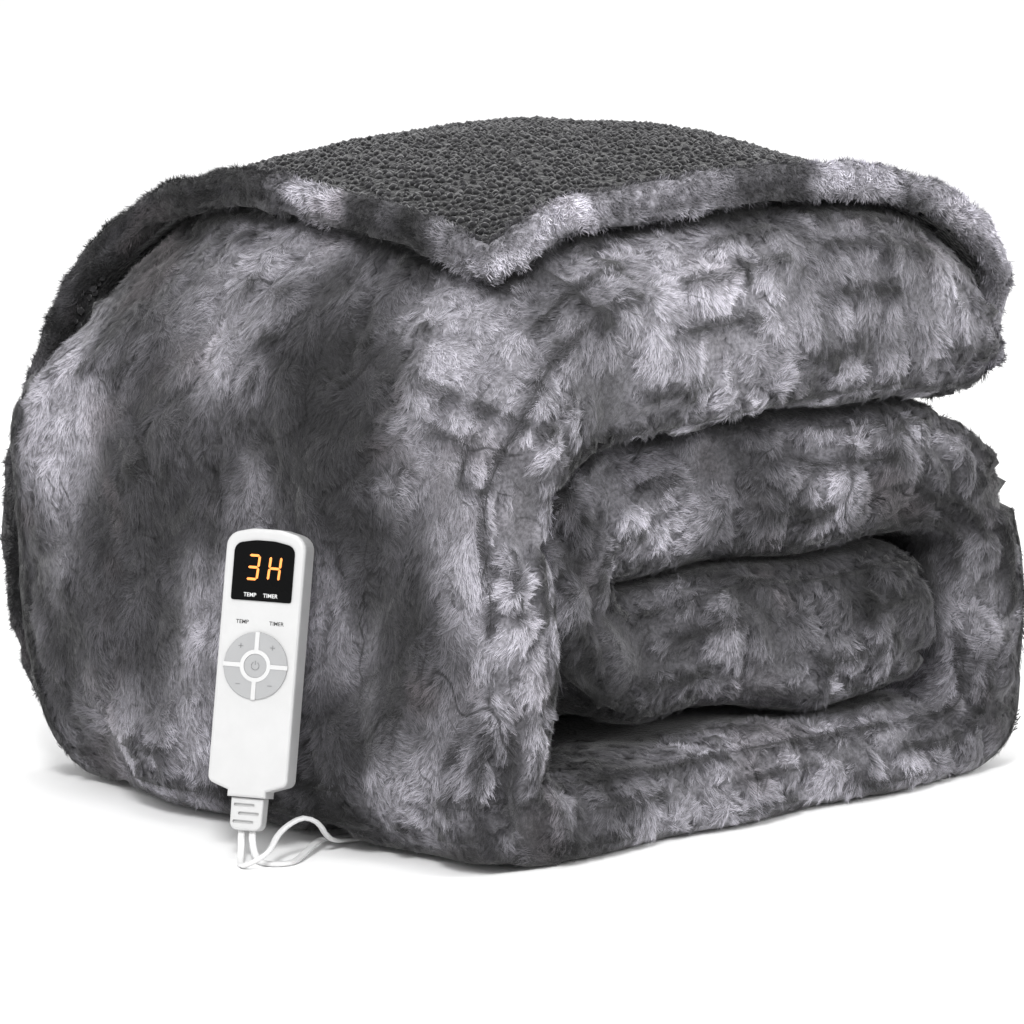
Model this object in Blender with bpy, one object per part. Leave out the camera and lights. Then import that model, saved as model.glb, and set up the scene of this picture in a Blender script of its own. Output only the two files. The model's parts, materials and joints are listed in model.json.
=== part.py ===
"""Electric heated blanket folded into a thick bundle, with its handset and leads.

Metres, +Z up. X runs along the folded layers and Y along the folds. The wall of the
bundle faces -X, the end where the folds show faces -Y. The bundle is one strip of
cloth laid along a spiral: tucked layer, middle layer, loop, foot, wall and top.
The blanket's last layer is turned over on top of it, sherpa side up, with its
rolled fur hem showing.
"""

import math
from typing import NamedTuple

import bmesh
import bpy
from mathutils import Matrix, Vector
from mathutils.bvhtree import BVHTree

# ---- the folded bundle -------------------------------------------------------
WALL_X = -0.222            # outer face of the wall
LOOP_X = 0.222             # outermost point of the loop
TOP_END_X = 0.195          # end of the top layer
FRONT_Y = -0.206           # the end where the folds show
BACK_Y = 0.188
LAYER_GAP = 0.0035
FOOT_HALF = 0.0300         # half thicknesses of the layers
FOOT_END_HALF = 0.0285
TUCK_HALF = 0.0360
TUCK_NOSE_HALF = 0.0440
MIDDLE_HALF = 0.0445
MIDDLE_END_HALF = 0.0365
LOOP_HALF = 0.0330
WALL_HALF = 0.0310
TOP_HALF = 0.0560
FOOT_RADIUS = 0.042        # centre-line radii of the bends
SHOULDER_RADIUS = 0.086
LOOP_BEND = 0.0445
LOOP_SHOULDER = 2.55       # squareness of the loop's outer corner, 2 is round
FRONT_EDGE = 0.026         # how far the cloth's edges round over
BACK_EDGE = 0.034
EDGE_FULLNESS = 2.3
WIDTH_STEPS = 12
EDGE_STEPS = 5
NOSE_ANGLES = (22, 42, 60, 74, 84)
NOSE_FULLNESS = 2.5        # squareness of both ends of the strip, 2 is round
TOP_NOSE_REACH = 0.042     # how far the end of the top layer rounds over
TUCK_NOSE_REACH = 0.038

# ---- how the bundle settles ----------------------------------------------------
FLAT_BELOW = 0.007         # heights up to this one are pressed flat on the table
FREE_ABOVE = 0.016
CROWN = 0.038              # share of the height that the top gains in its middle
CROWN_X = 0.045
CROWN_FROM, CROWN_TO = 0.10, 0.33
DROOP_FRONT = 0.108        # shares of the height that it loses towards its sides
DROOP_FRONT_END = 0.080    # the same at the front of the end of the top
DROOP_BACK = 0.090
DROOP_END = 0.083
DROOP_NOSE = 0.032         # what the end of the top loses besides
DROOP_WALL = 0.036
DROOP_CORNER = 0.006
END_SINK = 0.030           # share of the height that every layer loses over the loop
FOOT_SPREAD = 0.020        # how far the wall's foot and the loop spread on the table
LOOP_SPREAD = 0.014
SPREAD_HEIGHT = 0.110
BACK_FOOT_TUCK = 0.018     # how far the foot draws in at the +Y end
BACK_TUCK = 0.029          # how far the top draws in at the +Y end
BACK_TUCK_X = 0.012
TUCK_FROM, TUCK_TO = 0.215, 0.315
PUFF = 0.0042              # unevenness of the stuffing
PUFF_LENGTH = 0.120
PUFF_TOP = 0.45            # share of the unevenness that is left on the taut top

# ---- the groove that the leads run in under the bundle ----------------------------
GROOVE_Y = -0.0725
GROOVE_HALF = 0.0125
GROOVE_SLOPE = 0.009
GROOVE_HEIGHT = 0.0085

# ---- the turned-over layer with its rolled hem ------------------------------------
SHEET_THICK = 0.0095
SHEET_CLEARANCE = 0.0026
HEM_RADIUS = 0.0100
EASE_ROUNDS = 4
SHEET_TURN = 112                 # degrees that it wraps round the end of the top layer
SHEET_BACK = 0.0272              # how far from the +Y end it bends down
HEM_FRONT_Y = (-0.151, -0.183)   # its front edge, at the wall and at the end of the top
HEM_CORNER_X = -0.163            # its edge over the wall, at the front corner
HEM_BACK_X = -0.150
APRON_LENGTH = 0.335             # hangs over the +Y end
APRON_BEND = 0.055
APRON_FLOOR = 0.0105

# ---- handset -------------------------------------------------------------------
HANDSET_WIDTH = 0.045
HANDSET_LENGTH = 0.1365
HANDSET_THICK = 0.0150
HANDSET_ARCH = 0.0035
HANDSET_TAPER = 0.0040
NECK_WIDTH = 0.0217
NECK_LENGTH = 0.0035
HANDSET_FACING = -63.0           # azimuth its front faces, 0 is -Y, -90 is -X
HANDSET_LEAN = 11.5
HANDSET_ROLL = 1.2
HANDSET_FOOT = (-0.2583, -0.0615, 0.0318)   # middle of the neck's lower edge, back face
WINDOW_WIDTH = 0.0342
WINDOW_HEIGHT = 0.0325
WINDOW_TOP = 0.0063              # below the top of the housing
WINDOW_PROUD = 0.0005
WHEEL_DROP = 0.0735              # wheel's centre below the top of the housing
WHEEL_RADIUS = 0.0180
WHEEL_HOLE = 0.0083
WHEEL_SLIT = 0.0020
POWER_RADIUS = 0.0066
BUTTON_PROUD = 0.0009
RELIEF_WIDTH = 0.0184
RELIEF_LENGTH = 0.0178
RELIEF_THICK = 0.0088
RELIEF_SLOT = (0.0118, 0.0018, 0.0016)      # length, height and depth of a slot
RELIEF_PITCH = 0.0045

# ---- leads ----------------------------------------------------------------------
LEAD_WIDTH = 0.0040
LEAD_REST = LEAD_WIDTH / 2 + 0.0001         # height of a lead's middle on the table
COIL_CENTRE = (0.2530, 0.0620)
COIL_MEAN_RADIUS = 0.0230
COIL_COLUMNS = 3
COIL_LAYERS = 4
COIL_PITCH = 0.0042
TIE_ANGLE = 262.0
TIE_WIDTH = 0.009
TIE_THICK = 0.0006
PLUG_WIDTH = 0.021
PLUG_LENGTH = 0.030
PLUG_THICK = 0.016
PLUG_RELIEF = 0.024
PLUG_Y = 0.1500
PIN_SPACING = 0.0127
PIN_SIZE = (0.0062, 0.0158, 0.0015)
CONNECTOR_SIZE = (0.034, 0.017, 0.0120)
CONNECTOR_X = 0.2102
HARD_LIFT = 0.0007           # plug and connector clear of the table, which the cloth carries
FACE_GAP = 0.0003
COIL_LIFT = 0.0016           # the coil rests on its tie
CONNECTOR_Y = -0.0660

COIL_SIDE_X = COIL_CENTRE[0] + COIL_MEAN_RADIUS + COIL_PITCH
COIL_REACH = 0.0154        # a lead meets the ring this far from the ring's middle

# the whole part is shifted so that its box stands centred on the origin
ORIGIN_SHIFT = Vector((0.02335, -0.00414, 0.0))

MAINS_ROUTE = (
    (-0.2670, -0.0610, 0.0048), (-0.2735, -0.0675, 0.0021), (-0.2825, -0.0765, 0.0021),
    (-0.2868, -0.0833, 0.0024), (-0.2852, -0.0890, 0.0048), (-0.2795, -0.0920, 0.0084),
    (-0.2720, -0.0895, 0.0114), (-0.2640, -0.0850, 0.0148), (-0.2545, -0.0832, 0.0190),
    (-0.2440, -0.0845, 0.0218), (-0.2350, -0.0862, 0.0180), (-0.2280, -0.0850, 0.0108),
    (-0.2200, -0.0825, 0.0060), (-0.2090, -0.0800, 0.0042), (-0.1950, -0.0790, 0.0028),
    (-0.1750, -0.0790, 0.0021), (-0.0500, -0.0790, 0.0021), (0.0700, -0.0790, 0.0021),
    (0.1800, -0.0790, 0.0021), (0.2350, -0.0790, 0.0021), (0.2580, -0.0765, 0.0021),
    (0.2725, -0.0640, 0.0021), (0.2788, -0.0430, 0.0021), (0.2802, -0.0100, 0.0021),
)
BLANKET_ROUTE = (
    (-0.2600, -0.0655, 0.0050), (-0.2670, -0.0725, 0.0021), (-0.2755, -0.0810, 0.0021),
    (-0.2810, -0.0880, 0.0021), (-0.2797, -0.0940, 0.0021), (-0.2740, -0.0960, 0.0021),
    (-0.2660, -0.0920, 0.0021), (-0.2580, -0.0860, 0.0028), (-0.2490, -0.0800, 0.0042),
    (-0.2380, -0.0740, 0.0056), (-0.2250, -0.0698, 0.0056), (-0.2120, -0.0672, 0.0044),
    (-0.1950, -0.0660, 0.0028), (-0.1750, -0.0660, 0.0021), (-0.0500, -0.0660, 0.0021),
    (0.0700, -0.0660, 0.0021), (0.1400, -0.0660, 0.0021), (0.1700, -0.0660, 0.0034),
    (0.1950, -0.0660, 0.0045),
)


class Stretch(NamedTuple):
    """One stretch of the folded strip: a straight run, or a turn if it has a radius."""

    name: str
    run: float
    radius: float
    angle: float
    half: float
    front: float
    back: float
    steps: int


class Station(NamedTuple):
    """A place along the strip: its middle, heading, inner and outer half, two edges."""

    x: float
    z: float
    heading: float
    half: float
    outer: float
    front: float
    back: float
    stretch: str


def smooth(value, low, high):
    """Rise smoothly from 0 at low to 1 at high."""
    share = min(max((value - low) / (high - low), 0.0), 1.0)
    return share * share * (3 - 2 * share)


# ---------------------------------------------------------------- finishes
def material(name, colour, roughness, metallic=0.0):
    """Make a Principled material."""
    made = bpy.data.materials.new(name)
    made.use_nodes = True
    shader = made.node_tree.nodes["Principled BSDF"]
    shader.inputs["Base Color"].default_value = (*colour, 1.0)
    shader.inputs["Roughness"].default_value = roughness
    shader.inputs["Metallic"].default_value = metallic
    return made


def add_object(name, mesh, finish, parent=None, smooth_angle=50):
    """Put a mesh in the scene as a named piece with its finish."""
    piece = bpy.data.objects.new(name, mesh)
    bpy.context.scene.collection.objects.link(piece)
    mesh.materials.clear()
    mesh.materials.append(finish)
    mesh.shade_smooth()
    mesh.set_sharp_from_angle(angle=math.radians(smooth_angle))
    piece.parent = parent
    return piece


def mesh_from(name, build):
    """Make a mesh with a function that fills a bmesh, its faces pointing out."""
    shape = bmesh.new()
    build(shape)
    bmesh.ops.remove_doubles(shape, verts=shape.verts, dist=1e-6)
    bmesh.ops.recalc_face_normals(shape, faces=shape.faces)
    mesh = bpy.data.meshes.new(name)
    shape.to_mesh(mesh)
    shape.free()
    return mesh


# ---------------------------------------------------------------- folded strip
TUCK_Z = FOOT_HALF + FOOT_END_HALF + LAYER_GAP + TUCK_NOSE_HALF
MIDDLE_Z = TUCK_Z + TUCK_HALF + LAYER_GAP + MIDDLE_HALF
TOP_Z = MIDDLE_Z + MIDDLE_HALF + LAYER_GAP + TOP_HALF
LOOP_RISE = MIDDLE_Z - FOOT_HALF
LOOP_CENTRE_X = LOOP_X - LOOP_HALF - LOOP_BEND
TUCK_END_X = LOOP_X - 2 * LOOP_HALF - LAYER_GAP - TUCK_NOSE_REACH
INNER_TURN_RADIUS = (MIDDLE_Z - TUCK_Z) / 2
WALL_MIDDLE_X = WALL_X + WALL_HALF
INNER_TURN_X = WALL_X + 2 * WALL_HALF + 0.006 + MIDDLE_HALF + INNER_TURN_RADIUS
TOP_NOSE_X = TOP_END_X - TOP_NOSE_REACH

FOLDS = (
    #       name          run                                     radius             angle
    #       half at its end, edge set back at the front and back, steps
    Stretch("tucked", TUCK_END_X - INNER_TURN_X, 0, 0, TUCK_HALF, 0.032, 0.022, 7),
    Stretch("inner_turn", 0, INNER_TURN_RADIUS, 180, MIDDLE_HALF, 0.046, 0.026, 8),
    Stretch("middle", LOOP_CENTRE_X - INNER_TURN_X, 0, 0, MIDDLE_END_HALF, 0.010, 0.018, 7),
    Stretch("loop_upper", 0, LOOP_BEND, 90, LOOP_HALF, 0.005, 0.010, 6),
    Stretch("loop_side", LOOP_RISE - 2 * LOOP_BEND, 0, 0, LOOP_HALF, 0.004, 0.008, 2),
    Stretch("loop_lower", 0, LOOP_BEND, 90, FOOT_END_HALF, 0, 0, 6),
    Stretch("foot", LOOP_CENTRE_X - WALL_MIDDLE_X - FOOT_RADIUS, 0, 0, FOOT_HALF, 0, 0, 9),
    Stretch("wall_foot", 0, FOOT_RADIUS, 90, WALL_HALF, 0, 0, 5),
    Stretch("wall", TOP_Z - FOOT_HALF - FOOT_RADIUS - SHOULDER_RADIUS, 0, 0, WALL_HALF, 0, 0, 5),
    Stretch("shoulder", 0, SHOULDER_RADIUS, 90, TOP_HALF, 0, 0, 7),
    Stretch("top", TOP_NOSE_X - WALL_MIDDLE_X - SHOULDER_RADIUS, 0, 0, TOP_HALF, 0, 0, 9),
)


def full_curve(angle):
    """Give the two shares, across and along, of a full rounded end at an angle."""
    power = 2 / NOSE_FULLNESS
    return (math.cos(math.radians(angle)) ** power, math.sin(math.radians(angle)) ** power)


def shoulder_outer(turned):
    """Give the outer half thickness of the loop at an angle from its top."""
    across = math.sin(math.radians(turned)) / (LOOP_BEND + LOOP_HALF)
    up = math.cos(math.radians(turned)) / (LOOP_BEND + MIDDLE_HALF)
    total = abs(across) ** LOOP_SHOULDER + abs(up) ** LOOP_SHOULDER
    return total ** (-1 / LOOP_SHOULDER) - LOOP_BEND


def strip_stations():
    """Walk along the folds, always turning the same way, and note each station."""
    x, z, heading = TUCK_END_X, TUCK_Z, math.pi
    half, front, back = TUCK_NOSE_HALF, 0.010, 0.022
    stations = []
    for angle in reversed(NOSE_ANGLES):
        across, along = full_curve(angle)
        thin = half * across
        inset = 0.4 * (half - thin)
        stations.append(Station(x + TUCK_NOSE_REACH * along, z, heading, thin, thin,
                                front + inset, back + inset, "tucked"))
    stations.append(Station(x, z, heading, half, half, front, back, "tucked"))
    for fold in FOLDS:
        for step in range(1, fold.steps + 1):
            share = step / fold.steps
            if fold.radius:
                turn = math.radians(fold.angle) / fold.steps
                chord = 2 * fold.radius * math.sin(turn / 2)
                x += chord * math.cos(heading - turn / 2)
                z += chord * math.sin(heading - turn / 2)
                heading -= turn
            else:
                x += fold.run / fold.steps * math.cos(heading)
                z += fold.run / fold.steps * math.sin(heading)
            ease = smooth(share, 0, 1)
            thickness = half + (fold.half - half) * ease
            outer = thickness
            if fold.name == "middle":
                outer = MIDDLE_HALF
            elif fold.name == "loop_upper":
                outer = shoulder_outer(fold.angle * share)
            stations.append(Station(x, z, heading, thickness, outer,
                                    front + (fold.front - front) * ease,
                                    back + (fold.back - back) * ease, fold.name))
        half, front, back = fold.half, fold.front, fold.back
    for angle in NOSE_ANGLES:
        across, along = full_curve(angle)
        thin = half * across
        inset = 0.4 * (half - thin)
        stations.append(Station(x + TOP_NOSE_REACH * along, z, heading, thin, thin,
                                inset, inset, "nose"))
    return stations


def settle(x, y, z):
    """Let a point of the neat spiral sink, crown and puff as the soft bundle does."""
    if z <= FLAT_BELOW:
        low = 0.0
    elif z < FREE_ABOVE:
        low = (z - FLAT_BELOW) ** 2 / (2 * (FREE_ABOVE - FLAT_BELOW))
    else:
        low = z - (FLAT_BELOW + FREE_ABOVE) / 2
    across = y / BACK_Y if y > 0 else -y / FRONT_Y
    along = x / LOOP_X
    front = DROOP_FRONT + (DROOP_FRONT_END - DROOP_FRONT) * smooth(x, -0.06, 0.10)
    droop = (DROOP_BACK if y > 0 else front) * across ** 2
    droop += (DROOP_END if x > CROWN_X else DROOP_WALL) * ((x - CROWN_X) / 0.2) ** 2
    droop += DROOP_CORNER * smooth(-across, 0.3, 1.0) * smooth(-along, 0.3, 1.0)
    crown = (CROWN - droop) * smooth(low, CROWN_FROM, CROWN_TO)
    crown -= DROOP_NOSE * smooth(x, 0.10, 0.21) * smooth(low, 0.25, 0.34)
    height = low * (1 + crown - END_SINK * smooth(along, 0.1, 1.0))
    pull = smooth(height, TUCK_FROM, TUCK_TO)
    back = smooth(across, 0.1, 1.0)
    new_y = y - BACK_TUCK * pull * back
    new_x = x + BACK_TUCK_X * pull * back * (1 - smooth(x, -0.15, 0.0))
    spread = 1 - smooth(height, 0.0, SPREAD_HEIGHT)
    new_x -= FOOT_SPREAD * spread * (1 - smooth(along, -1.0, -0.55)) * (1 - 1.5 * back)
    new_y -= BACK_FOOT_TUCK * spread * back
    new_x += LOOP_SPREAD * spread * smooth(along, 0.45, 0.95)
    lift = smooth(height, 0.0, 0.06) * (1 - (1 - PUFF_TOP) * smooth(height, 0.24, 0.31))
    wave = 2 * math.pi / PUFF_LENGTH
    height += PUFF * lift * math.sin(wave * x + 1.3) * math.cos(0.8 * wave * y + 0.4)
    new_y += 0.9 * PUFF * math.sin(wave * x - 0.7) * math.sin(1.1 * wave * z + 0.9)
    new_x += 1.2 * PUFF * math.sin(0.9 * wave * y + 2.1) * math.sin(0.7 * wave * z + 0.3)
    new_x += handset_nest(new_y, height, new_x)
    groove = smooth(abs(y - GROOVE_Y), GROOVE_HALF + GROOVE_SLOPE, GROOVE_HALF)
    return Vector((new_x, new_y, max(height, GROOVE_HEIGHT * groove)))


def handset_nest(y, z, x):
    """Turn the wall a little towards the handset that leans on it."""
    near = math.exp(-((y + 0.055) / 0.075) ** 2) * math.exp(-((z - 0.13) / 0.085) ** 2)
    wall = 1 - smooth(x, WALL_X + 0.02, WALL_X + 0.09)
    return -0.20 * (y + 0.055) * near * wall


def width_places():
    """Give the shares of the width where the strip has points, close at the groove."""
    even = [step / WIDTH_STEPS for step in range(WIDTH_STEPS + 1)]
    width = BACK_Y - FRONT_Y - FRONT_EDGE - min(BACK_EDGE, FOOT_HALF * 1.1)
    middle = (GROOVE_Y - FRONT_Y - FRONT_EDGE) / width
    half = GROOVE_HALF / width
    rim = (GROOVE_HALF + GROOVE_SLOPE) / width
    special = [middle - rim, middle - half, middle + half, middle + rim]
    kept = [share for share in even if abs(share - middle) > rim * 1.35]
    return sorted(kept + special)


def strip_section(station):
    """Give the ring of points round the strip at a station, outer side first."""
    front = FRONT_Y + station.front
    back = BACK_Y - station.back
    front_depth = min(FRONT_EDGE, station.half * 1.1)
    back_depth = min(BACK_EDGE, station.half * 1.1)
    inner_front, inner_back = front + front_depth, back - back_depth
    flat = [inner_front + (inner_back - inner_front) * share for share in width_places()]
    power = 2 / EDGE_FULLNESS
    turn = []
    for step in range(1, EDGE_STEPS):
        angle = math.pi * step / EDGE_STEPS
        level = math.copysign(abs(math.cos(angle)) ** power, math.cos(angle))
        turn.append((math.sin(angle) ** power,
                     level * (station.outer if level > 0 else station.half)))
    ring = [(y, station.outer) for y in reversed(flat)]
    ring += [(inner_front - front_depth * out, level) for out, level in turn]
    ring += [(y, -station.half) for y in flat]
    ring += [(inner_back + back_depth * out, level) for out, level in reversed(turn)]
    return ring


def strip_point(station, y, offset):
    """Place a point of the strip, offset from its middle towards its outer side."""
    side = station.heading + math.pi / 2
    return settle(station.x + offset * math.cos(side), y, station.z + offset * math.sin(side))


def build_bundle(shape):
    """Loft the strip through its stations and close both of its ends."""
    rings = []
    for station in strip_stations():
        ring = strip_section(station)
        rings.append([shape.verts.new(strip_point(station, y, offset)) for y, offset in ring])
    count = len(rings[0])
    for first, second in zip(rings, rings[1:]):
        for index in range(count):
            following = (index + 1) % count
            shape.faces.new((first[index], first[following], second[following], second[index]))
    flat = len(width_places())
    for ring in (rings[0], rings[-1]):
        close_ring(shape, ring, flat)


def close_ring(shape, ring, flat):
    """Close a flattened ring by joining its outer side to its inner side."""
    outer = ring[:flat]
    inner = ring[flat + EDGE_STEPS - 1: 2 * flat + EDGE_STEPS - 1][::-1]
    front = ring[flat: flat + EDGE_STEPS - 1]
    back = ring[2 * flat + EDGE_STEPS - 1:]
    for index in range(flat - 1):
        shape.faces.new((outer[index], outer[index + 1], inner[index + 1], inner[index]))
    shape.faces.new((outer[-1], *front, inner[-1]))
    shape.faces.new((inner[0], *back, outer[0]))


# ---------------------------------------------------------------- turned-over layer
def rim_places(length, inner_steps):
    """Give distances along one side of the sheet, close together under its hem."""
    rim = [HEM_RADIUS * share for share in (0.0, 0.3, 0.95, 1.6, 2.0, 2.6)]
    inner = length - 2 * rim[-1]
    middle = [rim[-1] + inner * step / inner_steps for step in range(1, inner_steps)]
    return rim + middle + [length - place for place in reversed(rim)]


def hem_levels(distance):
    """Give the heights of the sheet's two faces at a distance from its edge."""
    if distance >= 2 * HEM_RADIUS:
        return 0.0, SHEET_THICK
    rise = math.sqrt(max(HEM_RADIUS ** 2 - (HEM_RADIUS - distance) ** 2, 0.0))
    low = HEM_RADIUS - rise if distance < HEM_RADIUS else 0.0
    return low, max(HEM_RADIUS + rise, SHEET_THICK)


def outer_path():
    """Give the outer face of the strip from the wall to below the end of the top."""
    path = [(station.x - station.half * math.sin(station.heading),
             station.z + station.half * math.cos(station.heading))
            for station in strip_stations() if station.stretch in ("wall", "shoulder", "top")]
    for step in range(1, 13):
        angle = SHEET_TURN * step / 12
        across, along = full_curve(min(angle, 180 - angle))
        path.append((TOP_NOSE_X + TOP_NOSE_REACH * along,
                     TOP_Z + TOP_HALF * math.copysign(across, 90 - angle)))
    return path


def path_lengths(path):
    """Give the length along a path at each of its points."""
    lengths = [0.0]
    for first, second in zip(path, path[1:]):
        lengths.append(lengths[-1] + math.dist(first, second))
    return lengths


def along_path(path, lengths, place):
    """Give the point of a path at a length along it."""
    index = 1
    while index < len(lengths) - 1 and lengths[index] < place:
        index += 1
    span = lengths[index] - lengths[index - 1]
    share = (place - lengths[index - 1]) / span
    first, second = path[index - 1], path[index]
    return (first[0] + (second[0] - first[0]) * share, first[1] + (second[1] - first[1]) * share)


def length_at_x(path, lengths, x):
    """Give the length along the path's first half where it passes an x."""
    for index in range(1, len(path)):
        if path[index][0] >= x and path[index][1] > TOP_Z:
            span = path[index][0] - path[index - 1][0]
            share = (x - path[index - 1][0]) / span
            return lengths[index - 1] + share * (lengths[index] - lengths[index - 1])
    return lengths[-1]


class TurnedLayer:
    """The blanket's last layer: over the top, round its end and down the +Y end."""

    def __init__(self):
        self.path = outer_path()
        self.lengths = path_lengths(self.path)
        self.end = self.lengths[-1]
        self.back_y = BACK_Y - SHEET_BACK

    def start(self, y):
        """Give the length along the path where the layer's edge over the wall lies."""
        share = smooth(y, HEM_FRONT_Y[0], self.back_y)
        return length_at_x(self.path, self.lengths,
                           HEM_CORNER_X + (HEM_BACK_X - HEM_CORNER_X) * share)

    def top_point(self, share, y):
        """Place a point of the layer's underside on top of the bundle."""
        first = self.start(y)
        place = first + (self.end - first) * share
        x, z = along_path(self.path, self.lengths, place)
        return settle(x, y, z)

    def front_edge(self, share):
        """Give the y of the layer's front edge."""
        return HEM_FRONT_Y[0] + (HEM_FRONT_Y[1] - HEM_FRONT_Y[0]) * smooth(share, 0.0, 0.8)

    def point(self, share, place):
        """Place a point of the underside, place metres back from the front edge."""
        front = self.front_edge(share)
        top_length = self.back_y - front
        if place <= top_length:
            return self.top_point(share, front + place)
        drop = place - top_length
        edge = self.top_point(share, self.back_y)
        down = smooth(drop, 0.0, APRON_LENGTH * 0.92)
        bend = min(drop / APRON_BEND, math.pi / 2)
        fall = APRON_BEND * (1 - math.cos(bend)) + max(drop - APRON_BEND * math.pi / 2, 0.0)
        total = APRON_BEND + max(APRON_LENGTH - APRON_BEND * math.pi / 2, 0.0)
        height = edge.z + (APRON_FLOOR - edge.z) * min(fall / total, 1.0)
        bulge = smooth(height, TUCK_TO + 0.01, TUCK_FROM)
        y = edge.y + (BACK_Y - 0.004 - edge.y) * max(math.sin(bend) * 0.45, bulge)
        y -= BACK_FOOT_TUCK * (1 - smooth(height, 0.0, SPREAD_HEIGHT))
        left = WALL_X + 0.048 - 0.020 * bulge + 0.030 * smooth(height, 0.08, 0.0)
        right = TOP_END_X + 0.006
        x = edge.x + (left + (right - left) * share - edge.x) * smooth(down, 0.0, 0.55)
        return Vector((x, y, height))

    def clear(self, point, tree, gap):
        """Push a point out of the bundle until it clears it by a gap, never downwards."""
        nearest, normal, _, distance = tree.find_nearest(point)
        inside = (point - nearest).dot(normal) < 0
        if not inside and distance >= gap:
            return point
        cleared = nearest + normal * gap
        return Vector((cleared.x, cleared.y, max(cleared.z, point.z)))

    def ease_over(self, under, tree):
        """Lift the cells of the underside until their middles clear the bundle as well."""
        for _ in range(EASE_ROUNDS):
            for row in range(len(under) - 1):
                for column in range(len(under[0]) - 1):
                    spots = [(row, column), (row + 1, column), (row, column + 1),
                             (row + 1, column + 1)]
                    corners = [under[r][c] for r, c in spots]
                    places = [sum(corners, Vector()) / 4, (corners[0] + corners[1]) / 2,
                              (corners[0] + corners[2]) / 2, (corners[0] + corners[3]) / 2]
                    for place in places:
                        push = self.clear(place, tree, SHEET_CLEARANCE) - place
                        if push.length > 0.0:
                            for r, c in spots:
                                under[r][c] = under[r][c] + push

    def build(self, shape, tree):
        """Make the thick sheet with its rolled hem along every edge."""
        wide = self.end - self.start(0.0)
        long = self.back_y - HEM_FRONT_Y[0] + APRON_LENGTH
        across = rim_places(wide, 11)
        down = rim_places(long, 15)
        under = [[self.clear(self.point(u / wide, v), tree, SHEET_CLEARANCE) for v in down]
                 for u in across]
        self.ease_over(under, tree)
        normals = grid_normals(under)
        top, bottom = [], []
        for row, u in enumerate(across):
            top.append([])
            bottom.append([])
            for column, v in enumerate(down):
                distance = min(u, wide - u, v, long - v)
                low, high = hem_levels(distance)
                base, normal = under[row][column], normals[row][column]
                upper = shape.verts.new(base + normal * high)
                top[-1].append(upper)
                rim = row in (0, len(across) - 1) or column in (0, len(down) - 1)
                bottom[-1].append(upper if rim else shape.verts.new(base + normal * low))
        for surface, flip in ((top, False), (bottom, True)):
            for row in range(len(across) - 1):
                for column in range(len(down) - 1):
                    corners = (surface[row][column], surface[row + 1][column],
                               surface[row + 1][column + 1], surface[row][column + 1])
                    shape.faces.new(corners[::-1] if flip else corners)


def grid_normals(grid):
    """Give each point of a grid the direction that points off the bundle."""
    normals = []
    rows, columns = len(grid), len(grid[0])
    for row in range(rows):
        normals.append([])
        for column in range(columns):
            along = grid[min(row + 1, rows - 1)][column] - grid[max(row - 1, 0)][column]
            back = grid[row][min(column + 1, columns - 1)] - grid[row][max(column - 1, 0)]
            normals[-1].append(along.cross(back).normalized())
    return normals


# ---------------------------------------------------------------- handset
def rounded_outline(corners, segments=6):
    """Give the points of a closed outline whose corners (x, y, radius) are rounded."""
    points = []
    count = len(corners)
    for index, (x, y, radius) in enumerate(corners):
        corner = Vector((x, y))
        before = (Vector(corners[index - 1][:2]) - corner).normalized()
        after = (Vector(corners[(index + 1) % count][:2]) - corner).normalized()
        if radius <= 0:
            points.append(corner)
            continue
        half = before.angle(after) / 2
        reach = radius / math.tan(half)
        middle = corner + (before + after).normalized() * (radius / math.sin(half))
        first, last = corner + before * reach - middle, corner + after * reach - middle
        turn = first.angle_signed(last)
        for step in range(segments + 1):
            points.append(middle + Matrix.Rotation(-turn * step / segments, 2) @ first)
    return points


def plate_mesh(name, outline, low, high, bevel=0.0, bevel_steps=2):
    """Extrude an outline from low to high and round its upper edge."""
    def build(shape):
        base = [shape.verts.new((point.x, point.y, low)) for point in outline]
        face = shape.faces.new(base)
        lifted = bmesh.ops.extrude_face_region(shape, geom=[face])["geom"]
        upper = [item for item in lifted if isinstance(item, bmesh.types.BMVert)]
        bmesh.ops.translate(shape, verts=upper, vec=(0, 0, high - low))
        if bevel:
            rim = [edge for edge in shape.edges if all(v in upper for v in edge.verts)]
            bmesh.ops.bevel(shape, geom=rim, offset=bevel, segments=bevel_steps,
                            profile=0.5, affect="EDGES", clamp_overlap=True)
    return mesh_from(name, build)


def housing_outline():
    """Outline of the handset seen from its front, with its arched top and its neck."""
    half, neck = HANDSET_WIDTH / 2, NECK_WIDTH / 2
    corner = NECK_LENGTH + HANDSET_TAPER
    side = HANDSET_LENGTH + corner - HANDSET_ARCH
    crown = side + HANDSET_ARCH
    return rounded_outline((
        (neck, 0.0, 0), (neck, NECK_LENGTH, 0), (half, corner, 0.0042), (half, side, 0.0085),
        (half * 0.35, crown, 0.020), (-half * 0.35, crown, 0.020), (-half, side, 0.0085),
        (-half, corner, 0.0042), (-neck, NECK_LENGTH, 0), (-neck, 0.0, 0),
    ), 5)


def window_outline():
    """Outline of the display window: well rounded above, nearly square below."""
    half = WINDOW_WIDTH / 2
    top = HANDSET_LENGTH + HANDSET_TAPER + NECK_LENGTH - WINDOW_TOP
    low = top - WINDOW_HEIGHT
    return rounded_outline((
        (half, low, 0.0014), (half, top - 0.0022, 0.0052), (half * 0.3, top, 0.018),
        (-half * 0.3, top, 0.018), (-half, top - 0.0022, 0.0052), (-half, low, 0.0014),
    ), 5)


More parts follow.
